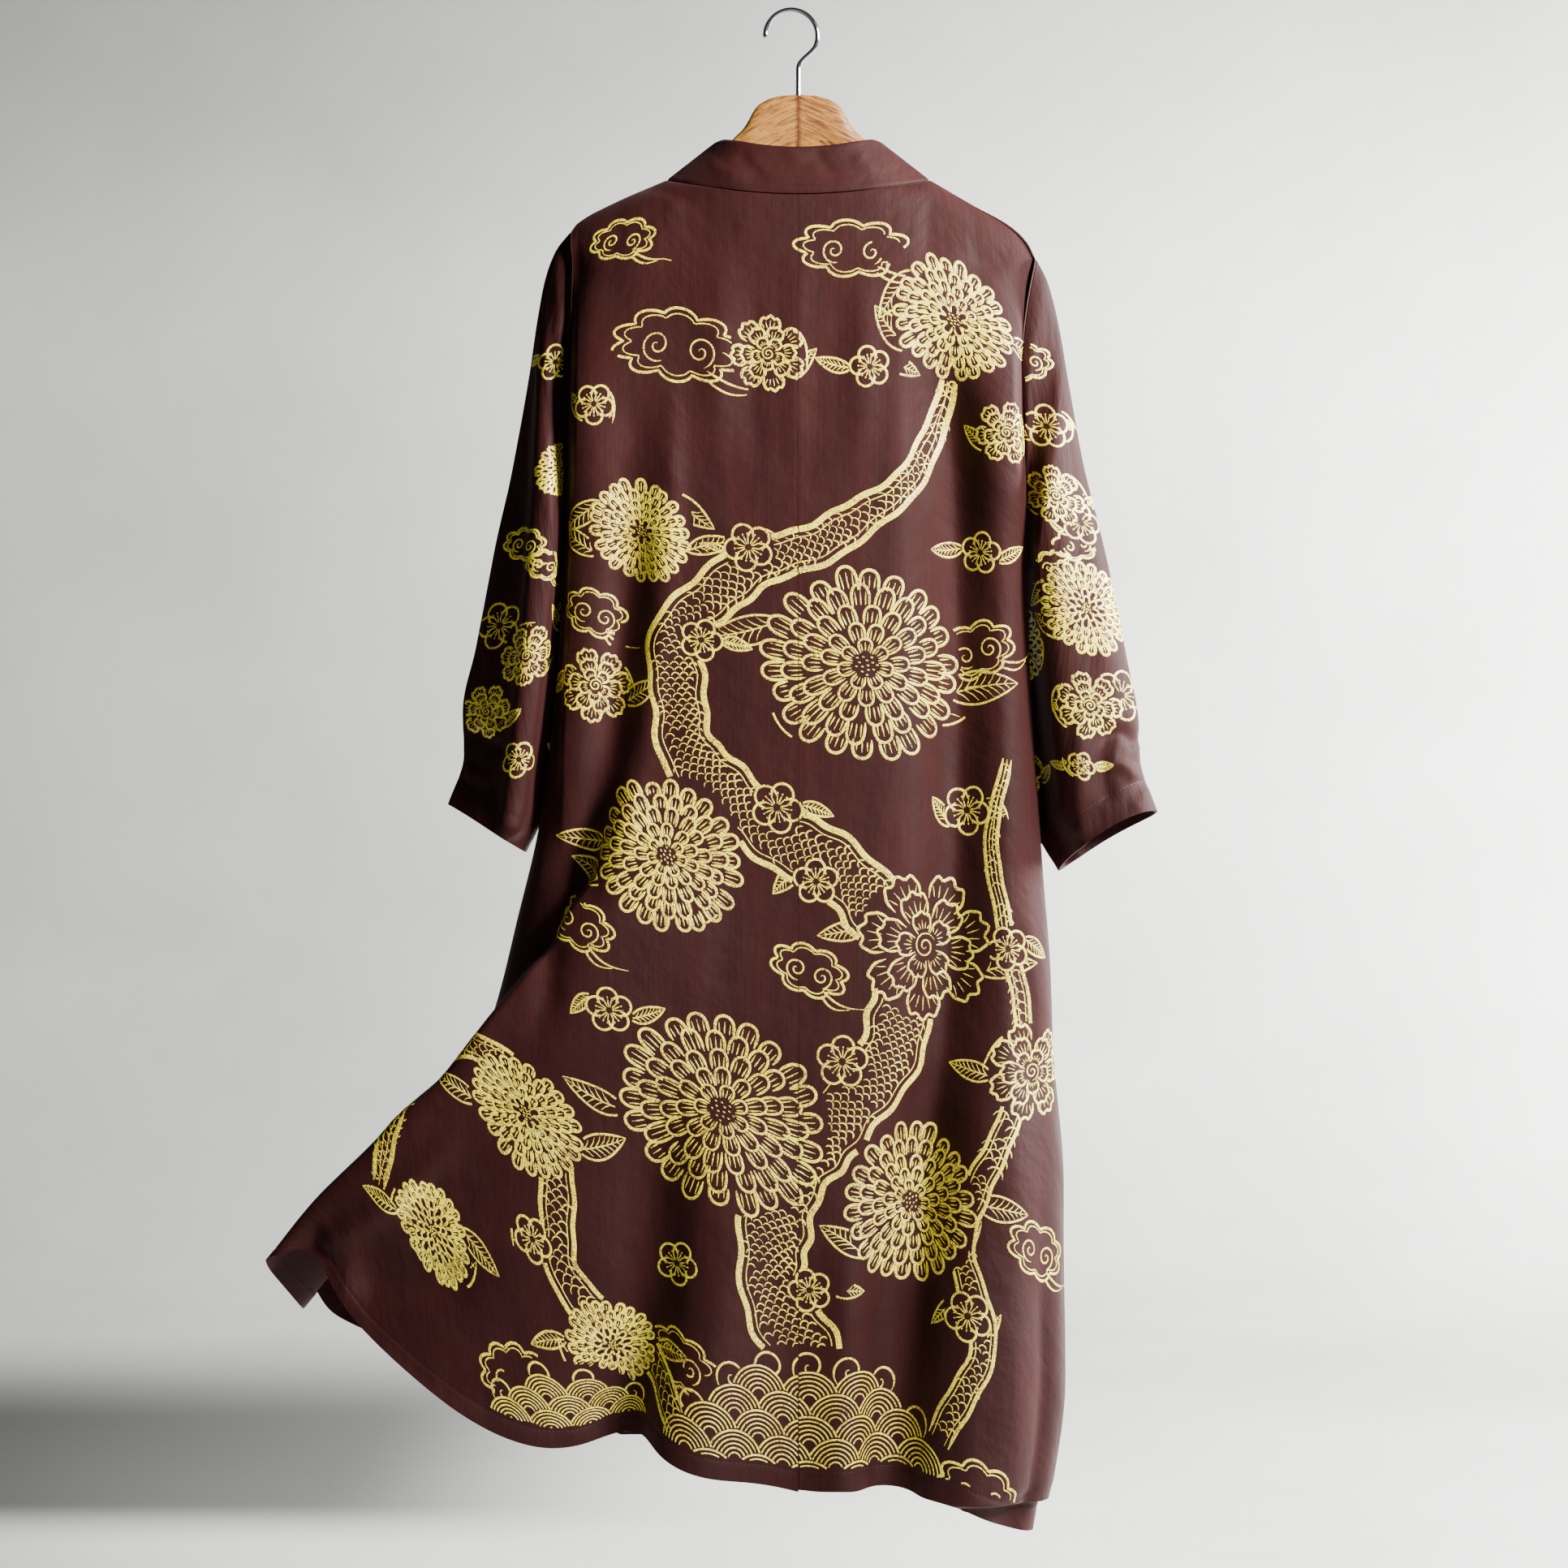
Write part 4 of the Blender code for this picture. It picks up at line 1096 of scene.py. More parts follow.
def bough(rows):
    """Two wavering edges about a smooth path, with rows of short curved strokes between them for
    the bark."""
    count = len(rows["across"])
    at = np.linspace(0, count - 1, count * 26)
    across, down, half = (smooth(np.arange(count, dtype=float), column, at) for column in rows.values())
    path = np.stack([across, down], -1)
    for _ in range(40):
        path[1:-1] = path[1:-1] * 0.5 + (path[:-2] + path[2:]) * 0.25
    path, run, even = read_path(path, lambda length: int(length / 2.5))
    half = np.interp(even, run, half)
    way = np.gradient(path, axis=0)
    way /= np.hypot(way[:, :1], way[:, 1:])
    side_way = np.stack([-way[:, 1], way[:, 0]], -1)
    lines = []
    thick = min(BOUGH_LINE, half.max() * 0.24 + 1.0)
    for side in (-1, 1):
        waver = half * (1 + 0.10 * np.sin(even / 17 + side) + 0.06 * np.sin(even / 6.3 + 2 * side))
        for inside, width in ((0, thick), (thick * 1.15, HAIR_LINE)):
            lines.append(brushed(path + side_way * (side * (waver - inside))[:, None], width, 0.02, 0.02))
    turn = np.linspace(-1.35, 1.35, 7)[:, None]
    for row, place in enumerate(range(3, len(even) - 3, 2)):
        reach = half[place] * 0.74
        slots = max(1, int(reach * 2 / 8.5))
        for slot in range(slots + row % 2):
            off = ((slot + 0.5 * (1 - row % 2)) / slots * 2 - 1) * reach + chance.normal(0, 0.4)
            size = reach / slots * chance.uniform(0.82, 1.0)
            if abs(off) > reach or chance.random() < 0.05:
                continue
            stroke = np.sin(turn) * side_way[place] + np.cos(turn) * way[place] * 1.1
            stroke = path[place] + side_way[place] * off + size * stroke
            width = HAIR_LINE * (0.8 + 0.75 * abs(off / half[place] + 0.25))
            lines.append(brushed(stroke, width, 0.2, 0.2, 2.4))
    return lines, path, half


def wave_bank(half_width, height, scale):
    """Rows of fans, each six half circles about one centre; the lower rows lie over the upper ones, and
    curls top the bank."""
    covers = []
    half_turn = np.linspace(math.pi, 2 * math.pi, 30)
    broad, middling, fine = FINE_LINE * 1.2, FINE_LINE, HAIR_LINE * 1.2
    circles = ((1.0, broad), (0.86, fine), (0.71, middling), (0.56, fine), (0.41, middling), (0.25, fine))
    for row in range(int(height / (scale * 0.42)) + 1):
        rise = row * scale * 0.42
        reach = half_width * math.sqrt(max(0.0, 1 - (rise / height) ** 2))
        last = int(reach / scale) + 1
        for column in range(-last, last + 1):
            middle = np.array([(column + 0.5 * (row % 2)) * scale, -rise])
            if abs(middle[0]) > reach:
                continue
            for share, width in circles:
                fan = middle + polar(half_turn, scale * 0.55 * share)
                yield from outside([brushed(fan, width, 0.05, 0.05, 2.2)], covers)
            covers.append((*middle, scale * 0.56, scale * 0.56, 0.0))
    for place in np.linspace(-0.9, 0.9, max(3, int(half_width / 17))):
        top = [place * half_width, -height * math.sqrt(1 - place**2) - scale * 0.42]
        curl = scroll(scale * 0.34, 1.3, *((2.4, 1) if place < 0.3 else (0.7, -1))) + top
        yield from outside([brushed(curl, BOLD_LINE * 0.75, 0.2, 0.2, 2.0)], covers)
        covers.append((*top, scale * 0.34, scale * 0.34, 0.0))


def outside(lines, covers):
    """What is left of the lines outside every covering ellipse (across, down, half width, half
    height, turn), without crumbs."""
    if not lines or not covers:
        return lines
    points = np.concatenate([line for line, _ in lines])
    free = np.ones(len(points), bool)
    for across, down, wide, high, turn in covers:
        off = points - [across, down]
        cos, sin = math.cos(turn), math.sin(turn)
        one, other = off[:, 0] * cos + off[:, 1] * sin, off[:, 1] * cos - off[:, 0] * sin
        free &= (one / wide) ** 2 + (other / high) ** 2 > 1
    kept, first = [], 0
    for line, width in lines:
        here = free[first : first + len(line)]
        first += len(line)
        if here.all():
            kept.append((line, width))
            continue
        edges = np.flatnonzero(np.diff(np.concatenate([[0], here.view(np.int8), [0]])))
        for start, end in zip(edges[::2], edges[1::2]):
            if end - start > 4:
                kept.append((line[start:end], width[start:end]))
    return kept


def cut_at(lines, axis, side, limit):
    """The parts of the lines where side times the coordinate is under side times the limit, cut
    exactly there."""
    kept = []
    for line, width in lines:
        over = (line[:, axis] - limit) * side
        full = np.concatenate([line, width[:, None]], axis=1)
        run = []
        for one, other, at, after in zip(full[:-1], full[1:], over[:-1], over[1:]):
            if at <= 0:
                run.append(one)
            if (at <= 0) != (after <= 0):
                run.append(one + (other - one) * (at / (at - after)))
                if after > 0:
                    kept.append(run)
                    run = []
        if over[-1] <= 0:
            run.append(full[-1])
        kept.append(run)
    return [(np.array(part)[:, :2], np.array(part)[:, 2]) for part in kept if len(part) > 1]


def draw(design, covers, lines, *cover):
    """Adds a motif under those already drawn, then lets the ellipse of its cover hide what comes
    later."""
    design += outside(lines, covers)
    covers.append(cover)


def draw_leaf(design, covers, flower, turn, length, width, bend, cover_width):
    """A leaf that starts on a flower's rim and points away from its middle."""
    across, down, radius = flower
    cos, sin = math.cos(turn), math.sin(turn)
    root = (across + cos * radius * 0.92, down + sin * radius * 0.92)
    lines = placed(leaf(length, width, bend), *root, -turn)
    middle = (root[0] + cos * length / 2, root[1] + sin * length / 2)
    draw(design, covers, lines, *middle, length * 0.48, cover_width, turn)


def back_design():
    """The whole back, drawn from the topmost motif to the one that lies under all the others."""
    design, covers = [], []
    for across, down, half_width, height, scale in zip(*WAVES.values()):
        lines = placed(wave_bank(half_width, height, scale), across, down)
        draw(design, covers, lines, across, down, half_width + 10, height + scale * 0.8, 0.0)
    for across, down, radius, turn, squash in zip(*CHRYSANTHEMUMS.values()):
        lines = placed(chrysanthemum(radius), across, down, turn, squash)
        draw(design, covers, lines, across, down, radius * 1.02, radius * squash * 1.02, -turn)
    for flowers, motif, share in ((PEONIES, peony, 1.0), (BLOSSOMS, plum_blossom, 0.95)):
        for across, down, radius, turn in zip(*flowers.values()):
            lines = placed(motif(radius), across, down, turn)
            draw(design, covers, lines, across, down, radius * share, radius * share, 0.0)
    for rows in BOUGHS.values():
        lines, path, half = bough(rows)
        design += outside(lines, covers)
        covers += [(*place, wide, wide, 0.0) for place, wide in zip(path[::3], half[::3])]
    for flowers, count in ((CHRYSANTHEMUMS, 5), (PEONIES, 4), (BLOSSOMS, 2)):
        for flower in zip(flowers["across"], flowers["down"], flowers["radius"]):
            first = chance.uniform(0, 2 * math.pi)
            for number in range(count):
                turn = first + number * 2 * math.pi / count + chance.normal(0, 0.22)
                length = chance.uniform(0.75, 1.0) * (26 + flower[2] * 0.55)
                width = length * chance.uniform(0.34, 0.44)
                bend = chance.uniform(-0.22, 0.22)
                draw_leaf(design, covers, flower, turn, length, width, bend, width * 0.42)
    for across, down, half_width, half_height, lobes, turn in zip(*CLOUDS.values()):
        lines = placed(cloud(half_width, half_height, int(lobes)), across, down, turn)
        draw(design, covers, lines, across, down, half_width * 1.1, half_height * 1.3, -turn)
    return design


def foil_material():
    """Pale gold transfer foil, heat-pressed onto the cloth: bright where it is whole, with pinholes
    where the weave shows through."""
    material, tree, shader = new_material("pressed_gold_foil")
    place = object_place(tree)
    # Pinholes are 0.5 to 1.5 mm; the foil's own grain of 0.1 mm is drawn at 1 mm.
    pinholes = noise(tree, place, 700.0, 2.0, 0.7)[0]
    worn = maths(tree, "MULTIPLY", noise(tree, place, 34.0, 3.0)[0], 0.28)
    worn = maths(tree, "SUBTRACT", pinholes, worn)
    gold = ramp(tree, worn, (0.21, "#43270a"), (0.28, "#a88418"), (0.35, "#f0d42a"), (0.44, "#fff640"))
    feed(tree, shader, {
        "Base Color": gold,
        "Roughness": ramp(tree, worn, (0.24, 0.6), (0.5, 0.3)),
        "Normal": bump(tree, pinholes, 0.35, 0.0004),
        "Metallic": 0.0,
        "Specular IOR Level": 0.9,
    })
    return material


FOIL = foil_material()


def press_foil(name, design, find, group):
    """Lays each line on the cloth as a low ridge of foil three points wide. find gives a flat
    place's point, normal and whether it is on the cloth."""
    points = np.concatenate([line for line, _ in design])
    half = np.concatenate([width for _, width in design])[:, None] / 2
    owner = np.concatenate([np.full(len(line), number) for number, (line, _) in enumerate(design)])
    way = np.concatenate([np.gradient(line, axis=0) for line, _ in design])
    way /= np.maximum(np.hypot(way[:, :1], way[:, 1:]), 1e-6)
    side_way = np.stack([-way[:, 1], way[:, 0]], -1) * half
    flat = np.stack([points + side_way, points, points - side_way], axis=1)
    place, away, on = find(flat)
    place = place + away * (np.array([-0.12, 1.0, -0.12]) * FOIL_HEIGHT)[None, :, None]
    joined = (owner[1:] == owner[:-1]) & on[1:].all(-1) & on[:-1].all(-1)
    first = np.flatnonzero(joined)[:, None] * 3
    faces = np.concatenate([first + [0, 3, 4, 1], first + [1, 4, 5, 2]])
    corners = place.reshape(-1, 3)[faces].transpose(1, 0, 2)
    facing = np.cross(corners[2] - corners[0], corners[3] - corners[1])
    backward = (facing * away.reshape(-1, 3)[faces[:, 0]]).sum(-1) < 0
    faces[backward] = faces[backward][:, ::-1]
    used, faces = np.unique(faces, return_inverse=True)
    foil = make_object(name, place.reshape(-1, 3)[used], faces.reshape(-1, 4), FOIL)
    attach(foil, "root")
    group["with"].append(foil)


def back_finder(side):
    """The way from a flat place to a point of one back, up to its seams. Low down, the right back's
    print stops further short of its side seam."""
    sign = outward(side)
    across_cloth = run_along(backs[side]["outer"], 0)
    steps = np.arange(0, across_cloth[-1].max() + 2 * CLOTH_READ_STEP, CLOTH_READ_STEP)
    rows = np.arange(len(across_cloth))
    plan = np.stack([np.interp(steps, column, rows) for column in across_cloth.T])

    def find(flat):
        """The place, its normal, and whether it is on the back."""
        across, down = flat[..., 0] * sign, flat[..., 1]
        column = column_at(down / BODY_LENGTH)
        row = sample(plan[..., None], column, np.maximum(across, 0) / CLOTH_READ_STEP)[..., 0]
        reach = np.interp(column, np.arange(len(plan)), across_cloth[-1])
        if side == "right":
            reach = reach - RIGHT_SIDE_MARGIN * ease((down - RIGHT_SIDE_MARGIN_FROM) / 40)
        on = (across > -3) & (across < reach - SIDE_MARGIN) & (down > 6)
        return *on_cloth(backs[side], row, column), on

    return find


design = back_design()
for side in ("left", "right"):
    half_design = cut_at(design, 0, -outward(side), 0.25 * outward(side))
    half_design = cut_at(half_design, 1, 1, BODY_LENGTH - HEM_MARGIN)
    press_foil(f"back_{side}_gold_print", half_design, back_finder(side), backs[side])


SLEEVE_FLOWERS = {
    "left": table("around down radius kind", """
        57 430 25 0, 58 604 27 1, 22 575 22 2, 25 655 24 1, 60 700 17 2, 28 330 17 2, 22 742 13 2,
        130 380 30 0, 126 560 34 1, 130 690 20 2
    """),
    "right": table("around down radius kind", """
        42 455 27 1, 38 560 43 0, 52 650 30 1, 20 640 24 2, 34 390 21 2, 24 480 20 2, 66 706 13 2,
        130 420 34 1, 126 590 38 0, 130 710 20 2
    """),
}
SLEEVE_CLOUDS = table("around down half_width half_height", """
    34 500 22 11, 40 330 24 12, 130 480 26 13, 60 520 18 10
""")
SECTION_LEVELS = np.linspace(200, 812, 246)
SECTION_FLATTENING = 0.45


def closed_up(grid):
    """A ring grid with its first row again at the end."""
    return np.concatenate([grid, grid[:1]])


def sleeve_finder(side):
    """The way from a place on a sleeve to its point in space. Across is the way round a level
    section from the outer edge over the back, with its depth counted by SECTION_FLATTENING, and
    down is the level."""
    sleeve = {part: closed_up(sleeves[side][part]) for part in ("outer", "normals")}
    outer = sleeve["outer"]
    columns = np.arange(outer.shape[1])
    column = np.stack([np.interp(SECTION_LEVELS, -line[:, 2], columns) for line in outer])
    row = np.broadcast_to(np.arange(float(len(outer)))[:, None], column.shape)
    step = np.diff(sample(outer, row, column), axis=0)
    step = np.hypot(step[..., 0], SECTION_FLATTENING * step[..., 1])
    way_round = np.concatenate([np.zeros((1, step.shape[1])), np.cumsum(step, axis=0)])

    def find(flat):
        """Just above the cuff's hem and just below the armhole, on either face."""
        at = np.interp(flat[..., 1], SECTION_LEVELS, np.arange(len(SECTION_LEVELS)))
        low = at.astype(int)
        high = np.minimum(low + 1, len(SECTION_LEVELS) - 1)
        part = (at - low)[..., None]
        ways = way_round.T[low] * (1 - part) + way_round.T[high] * part
        after = np.clip((ways <= flat[..., :1]).sum(-1), 1, len(outer) - 1)[..., None]
        before_way = np.take_along_axis(ways, after - 1, -1)[..., 0]
        after_way = np.take_along_axis(ways, after, -1)[..., 0]
        part = (flat[..., 0] - before_way) / np.maximum(after_way - before_way, 1e-6)
        row = np.clip(after[..., 0] - 1 + part, 0, len(outer) - 1)
        there = sample(column[..., None], row, at)[..., 0]
        station = np.interp(there, np.arange(len(SLEEVE_ALONG)), SLEEVE_ALONG)
        on = (flat[..., 0] > 0.5) & (flat[..., 0] < ways[..., -1] - SIDE_MARGIN)
        return *on_cloth(sleeve, row, there), on & (station > 0.02) & (station < 0.945)

    return find


def sleeve_design(flowers, leaves):
    """Flowers with leaves round them, and small clouds, from the topmost to the lowest."""
    design, covers = [], []
    for around, down, radius, kind in zip(*flowers.values()):
        motif = (chrysanthemum, peony, plum_blossom)[int(kind)]
        lines = placed(motif(radius), around, down, around / 40)
        draw(design, covers, lines, around, down, radius, radius, 0.0)
    for *flower, kind in zip(*flowers.values()):
        for number in range(leaves):
            turn = flower[0] / 50 + number * 2 * math.pi / leaves + chance.normal(0, 0.2)
            length = 12 + flower[2] * 0.6
            bend = chance.uniform(-0.2, 0.2)
            draw_leaf(design, covers, flower, turn, length, length * 0.38, bend, length * 0.16)
    for around, down, half_width, half_height in zip(*SLEEVE_CLOUDS.values()):
        lines = placed(cloud(half_width, half_height, 8), around, down, 0.2)
        draw(design, covers, lines, around, down, half_width, half_height, 0.0)
    return design


for side, leaves in (("left", 2), ("right", 4)):
    design = sleeve_design(SLEEVE_FLOWERS[side], leaves)
    press_foil(f"sleeve_{side}_gold_print", design, sleeve_finder(side), sleeves[side])


# The wooden hanger: two mirrored halves of beech, shaped to the shoulders, glued in the middle and
# given a clear satin lacquer. Only its neck shows above the band.
HANGER_LENGTH = 206.0
HANGER_UNDER_CLOTH = {"left": 2.4, "right": 3.0}
JOINT_HALF_GAP = 0.01
HANGER = table("out top height thickness", """
    0 -77.5 62 13, 16 -78.6 61 13, 26 -81 59 13.5, 37 -87 55 14, 42 -93 51 14, 46.5 -101.5 45 14,
    52 -110 41 14, 60 -117.8 39 14, 74 -134 36 14, 95 -153 34 14, 124 -167 33 16, 150 -173 32 19,
    165 -179 31 18, 196 -200 25 15, 206 -211 13 11
""")


def hanger_surface(side, out, turn):
    """Sections across the arm, each an ellipse whose sine and cosine are raised to powers under 1,
    which squares it a little."""
    x = CENTRE_X + outward(side) * np.maximum(out, JOINT_HALF_GAP)
    top = read(HANGER, "top", out)
    seat = top_line(x, side) - HANGER_UNDER_CLOTH[side]
    top = np.where(out > NECK_HALF_WIDTH, np.minimum(top, seat), top)
    height = read(HANGER, "height", out)
    y = read(HANGER, "thickness", out) / 2 * np.sign(np.cos(turn)) * np.abs(np.cos(turn)) ** 0.8
    z = top - height / 2 + height / 2 * np.sign(np.sin(turn)) * np.abs(np.sin(turn)) ** 0.9
    return np.stack([x, y, z], axis=-1)


def beech_material():
    """Steamed beech under satin lacquer: warm orange, with darker growth lines along the arm and
    short dark flecks."""
    material, tree, shader = new_material("lacquered_beech")
    place = object_place(tree)
    # Growth lines 1 to 3 mm apart slope down each arm by 25 degrees from the joint; flecks 0.5 mm wide.
    parts = add_node(tree, "SeparateXYZ", {0: place}).outputs
    out = maths(tree, "ABSOLUTE", maths(tree, "SUBTRACT", parts[0], CENTRE_X * MM))
    at_right = maths(tree, "GREATER_THAN", parts[0], CENTRE_X * MM)
    board = maths(tree, "MULTIPLY_ADD", at_right, 0.37, parts[1])
    sloped = add_node(tree, "CombineXYZ", {0: out, 1: board, 2: parts[2]}).outputs[0]
    sloped = add_node(tree, "Mapping", {0: sloped, "Rotation": (0, -0.44, 0)}).outputs[0]
    bend = {0: noise(tree, place, 22.0, 2.0)[1], 1: (0.7, 0.7, 0.7)}
    bend = add_node(tree, "VectorMath", bend, operation="MULTIPLY").outputs[0]
    along = {0: stretched(tree, sloped, (14, 100, 150)), 1: bend}
    along = add_node(tree, "VectorMath", along, operation="ADD").outputs[0]
    growth = noise(tree, along, 3.0, 5.0, 0.6)[0]
    fleck = noise(tree, stretched(tree, place, (260, 900, 900)), 1.0, 2.0)[0]
    # The right half is drawn a shade darker.
    tone = maths(tree, "MULTIPLY_ADD", at_right, -0.055, growth)
    grown = ramp(tree, tone, (0.30, "#4c2a0d"), (0.42, "#7f511f"), (0.52, "#98692c"), (0.68, "#a97d38"))
    flecked = blend(tree, 0.55, grown, ramp(tree, fleck, (0.30, "#7d4a20"), (0.42, "#ffffff")), "MULTIPLY")
    # The glue line is 0.4 mm wide, drawn at 1 mm.
    glue = ramp(tree, out, (0.0003, "#94714e"), (0.0008, "#ffffff"))
    feed(tree, shader, {
        "Base Color": blend(tree, 1.0, flecked, glue, "MULTIPLY"),
        "Roughness": ramp(tree, growth, (0.3, 0.46), (0.7, 0.36)),
        "Normal": bump(tree, fleck, 0.12, 0.0003),
        "Coat Weight": 0.35,
        "Coat Roughness": 0.22,
    })
    return material


BEECH = beech_material()
for side in ("left", "right"):
    turn = np.linspace(0, 2 * math.pi, 49)[:-1]
    out, turn = np.meshgrid(np.linspace(0, 1, 90) ** 0.85 * HANGER_LENGTH, turn, indexing="ij")
    rings = hanger_surface(side, out, turn).transpose(1, 0, 2)
    index = closed_up(np.arange(out.size).reshape(rings.shape[:2]))
    faces = quads_of(index)
    if side == "left":
        faces = faces[:, ::-1]
    order = -outward(side)
    caps = [index[:-1, 0][::order].tolist(), index[:-1, -1][::-order].tolist()]
    wood = make_object(f"hanger_wood_{side}", rings, faces.tolist() + caps, BEECH, 50)
    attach(wood, "root")
    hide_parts(f"hanger_half_{side}")


# The hook: 4.3 mm steel wire, bent round a mandrel, plated and polished. Its open end is rounded,
# and its straight shank is screwed into the wood.
WIRE_RADIUS = 2.15
HOOK_RADIUS = 24.5
HOOK_START_DEGREES = 184.0
HOOK_END_DEGREES = -22.0
SHANK_BEND_Z = -53.0
SHANK_FOOT_Z = -98.0
END_ROUNDING = (0.62, 0.88, 0.98)


def hook_path():
    """A circle's arc, a cubic that leaves along it and arrives straight down, and the straight
    shank."""
    turn = np.radians(np.linspace(HOOK_START_DEGREES, HOOK_END_DEGREES, 72))
    arc = np.stack([np.cos(turn), np.sin(turn)], axis=-1) * HOOK_RADIUS
    arc[:, 1] += WIRE_RADIUS - HOOK_RADIUS
    bend_end = np.array([CENTRE_X, SHANK_BEND_Z])
    reach = np.linalg.norm(bend_end - arc[-1])
    leave = reach * np.array([math.sin(turn[-1]), -math.cos(turn[-1])])
    part = np.linspace(0, 1, 25)[1:, None]
    bend = (
        arc[-1] * (1 + 2 * part) * (1 - part) ** 2 + bend_end * part**2 * (3 - 2 * part)
        + leave * part * (1 - part) ** 2 - reach * np.array([0, -1]) * part**2 * (1 - part)
    )
    foot = np.stack([np.full(6, CENTRE_X), np.linspace(SHANK_BEND_Z, SHANK_FOOT_Z, 7)[1:]], -1)
    return np.concatenate([arc, bend, foot])


def steel_material():
    """Bright nickel-plated steel wire, drawn and tumbled: mirror-like with faint lines along it."""
    material, tree, shader = new_material("polished_plated_steel")
    # The drawing lines of 0.1 mm are too fine to show, and are drawn at 1.4 mm.
    drawn = noise(tree, object_place(tree), 700.0, 3.0)[0]
    feed(tree, shader, {
        "Base Color": ramp(tree, drawn, (0.3, "#9a9b9d"), (0.7, "#b9babc")),
        "Roughness": ramp(tree, drawn, (0.3, 0.09), (0.7, 0.15)),
        "Metallic": 1.0,
    })
    return material


path = hook_path()
way = unit(np.gradient(path, axis=0))
round_turn = np.linspace(0, 2 * math.pi, 25)[:-1]
radius = np.full((len(path), 1), WIRE_RADIUS)
radius[:3, 0] *= END_ROUNDING
offset = radius * np.cos(round_turn)
wire = np.stack([
    path[:, :1] - way[:, 1:] * offset, radius * np.sin(round_turn), path[:, 1:] + way[:, :1] * offset
], axis=-1)
index = np.arange(offset.size).reshape(offset.shape)
ends = [index[0, ::-1].tolist(), index[-1].tolist()]
faces = quads_of(np.concatenate([index, index[:, :1]], axis=1))[:, [0, 3, 2, 1]]
hook = make_object("hook_wire", wire, faces.tolist() + ends, steel_material(), 60)
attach(hook, "root")
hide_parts("hanger_hook")


# Every piece of cloth's flat size from seam to seam is worked out: the backs and fronts flare to
# the hem, the sleeves taper, and the neckband is one long strip.
def flat_area(outer):
    """Half the length of the cross product of each quad's diagonals, added up, in square metres."""
    one = outer[1:, 1:] - outer[:-1, :-1]
    other = outer[:-1, 1:] - outer[1:, :-1]
    return np.linalg.norm(np.cross(one, other), axis=-1).sum() / 2 * MM * MM


for group in (backs, fronts, sleeves):
    for side in ("left", "right"):
        outer = closed_up(group[side]["outer"]) if group is sleeves else group[side]["outer"]
        width, length = run_along(outer, 0)[-1].max() * MM, run_along(outer, 1)[:, -1].max() * MM
        flat_area(outer)
        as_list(group[side]["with"])
length, width = run_along(band_points, 0)[-1].max() * MM, run_along(band_points, 1)[:, -1].max() * MM


# The studio: a pale painted canvas, from the floor 0.2 m under the hem up behind the robe, with
# a large soft light at the right and a weaker one from the front.
FLOOR_Z = -1620.0
SWEEP_START_Y = 3200.0
SWEEP_RADIUS = 2000.0
SWEEP_HALF_WIDTH = 7500.0
# The share of dark grey in the painted shadow of the robe on the floor at the left.
PAINTED_FLOOR_SHADOW = 0.70


def sweep_profile():
    """A straight floor, a quarter circle and a straight wall, as (y, z) places."""
    turn = np.linspace(0, math.pi / 2, 24)
    curve = np.stack([
        SWEEP_START_Y + SWEEP_RADIUS * np.sin(turn), FLOOR_Z + SWEEP_RADIUS * (1 - np.cos(turn))
    ], -1)
    return np.concatenate([[[-7000, FLOOR_Z]], curve, [[SWEEP_START_Y + SWEEP_RADIUS, 4500]]])


def soft_edge(tree, value, start, end, most=1.0):
    """0 where the value is start, rising to most where it is end, by a smooth step."""
    feeds = {"Value": value, "From Min": start, "From Max": end, "To Max": most}
    return add_node(tree, "MapRange", feeds, interpolation_type="SMOOTHSTEP").outputs[0]


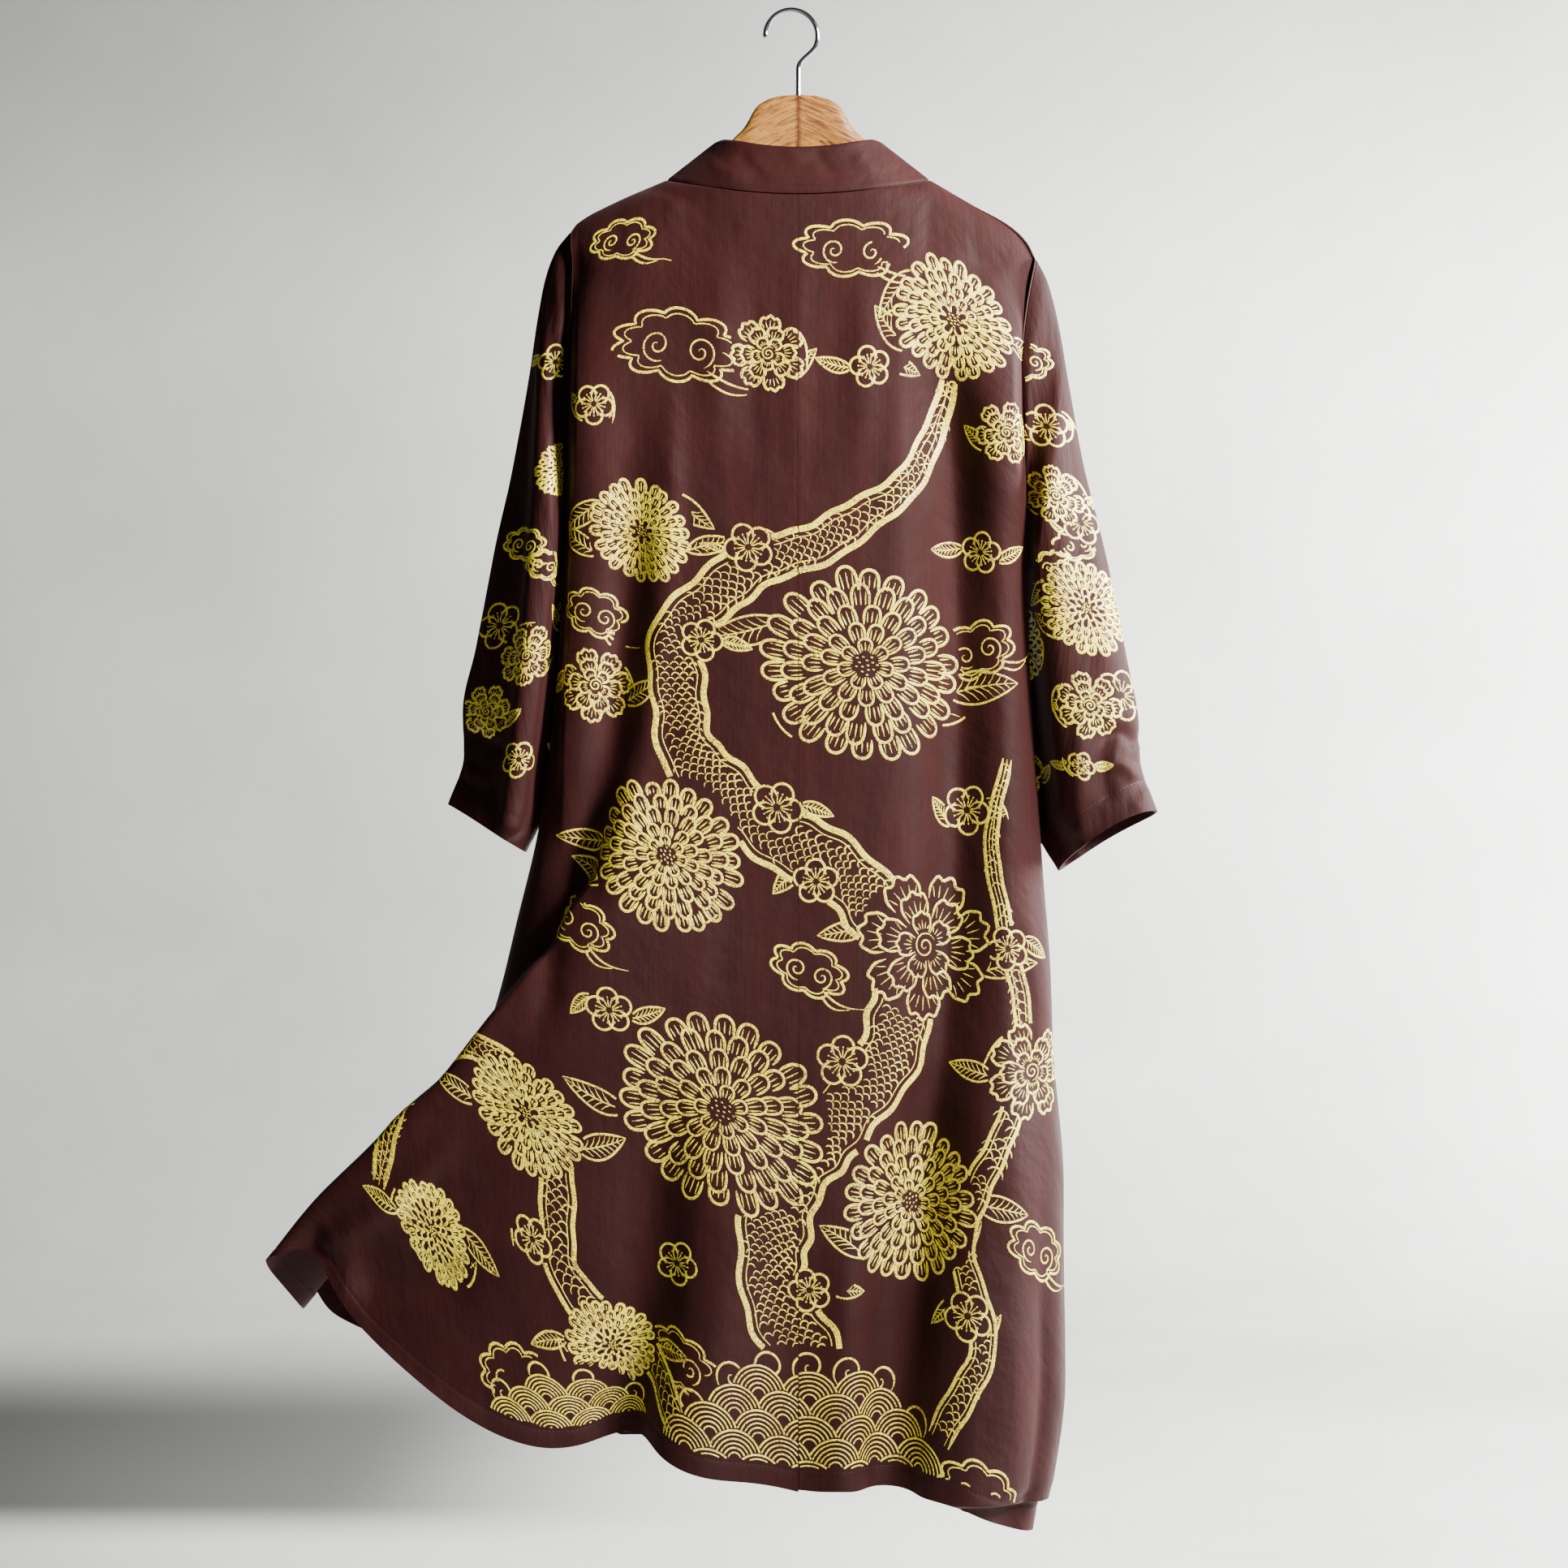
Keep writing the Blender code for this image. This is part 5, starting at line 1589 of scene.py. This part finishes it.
def canvas_material():
    """Matt studio canvas, brushed pale grey by hand: a little cloudy, with painted shade that darkens it
    towards the left and the top, and a painted shadow of the robe on the floor at the left."""
    material, tree, shader = new_material("painted_canvas")
    place = object_place(tree)
    # Clouds of the brush are some 400 mm across.
    pale = ramp(tree, noise(tree, place, 2.4, 6.0)[0], (0.3, "#dbdcd8"), (0.7, "#e9eae6"))
    parts = add_node(tree, "SeparateXYZ", {0: place}).outputs
    painted_shade = PAINTED_FLOOR_SHADOW
    # The painted shadow of the robe on the floor lies between 1.0 and 3.2 m behind it, and left of it, each
    # edge soft.
    for axis, start, end in ((1, 1.02, 1.34), (1, 3.2, 2.0), (0, -0.05, -0.6)):
        painted_shade = maths(tree, "MULTIPLY", soft_edge(tree, parts[axis], start, end), painted_shade)
    # Painted shade also darkens the whole canvas a little towards the left and the top.
    for axis, start, end, most in ((0, 1.2, -1.9, 0.36), (2, 0.1, 1.1, 0.24)):
        painted_shade = maths(tree, "ADD", painted_shade, soft_edge(tree, parts[axis], start, end, most), use_clamp=True)
    # The painted shade and the painted shadow mix the pale tone towards dark grey.
    feed(tree, shader, {"Base Color": blend(tree, painted_shade, pale, linear("#343632")), "Roughness": 0.9})
    return material


profile = sweep_profile()
ends = np.array([-SWEEP_HALF_WIDTH, SWEEP_HALF_WIDTH])
sweep = np.stack(np.broadcast_arrays(ends, profile[:, :1], profile[:, 1:]), axis=-1)
faces = quads_of(np.arange(len(profile) * 2).reshape(-1, 2))[:, [0, 3, 2, 1]]
backdrop = make_object("canvas_sweep", sweep, faces, canvas_material())


def softbox(name, place, aim, size, power, colour, beam=180.0):
    """A square area light at place that looks at aim, all in metres; its beam is in degrees."""
    lamp = bpy.data.lights.new(name, "AREA")
    lamp.size = size
    lamp.energy = power
    lamp.spread = math.radians(beam)
    lamp.color = linear(colour)[:3]
    holder = put(name, lamp)
    way = np.array(aim) - np.array(place)
    holder.location = place
    flat_way = math.hypot(way[0], way[1])
    holder.rotation_euler = (math.atan2(flat_way, -way[2]), 0, math.atan2(-way[0], way[1]))


softbox("key_softbox", (2.5, -1.85, 0.75), (0, 0, -0.2), 0.8, 64, "#fffaf4", 56.0)
softbox("fill_softbox", (0.6, -4.6, 0.6), (0, 0, -0.7), 2.0, 6, "#f6f8ff")
softbox("backdrop_light", (3.8, 3.0, -0.6), (3.0, 5.2, -1.4), 1.4, 620, "#ffffff", 150.0)
softbox("floor_light", (2.9, 0.6, 0.4), (0.9, 1.7, -1.62), 1.0, 600, "#ffffff")
world = bpy.data.worlds.new("studio")
world.use_nodes = True
# The room's far walls look pale, and send back little light.
ray = add_node(world.node_tree, "LightPath").outputs["Is Camera Ray"]
strength = add_node(world.node_tree, "MapRange", {"Value": ray, "To Min": 0.05, "To Max": 0.85})
background = world.node_tree.nodes["Background"]
feed(world.node_tree, background, {"Color": linear("#dfe3e6"), "Strength": strength.outputs[0]})
bpy.context.scene.world = world
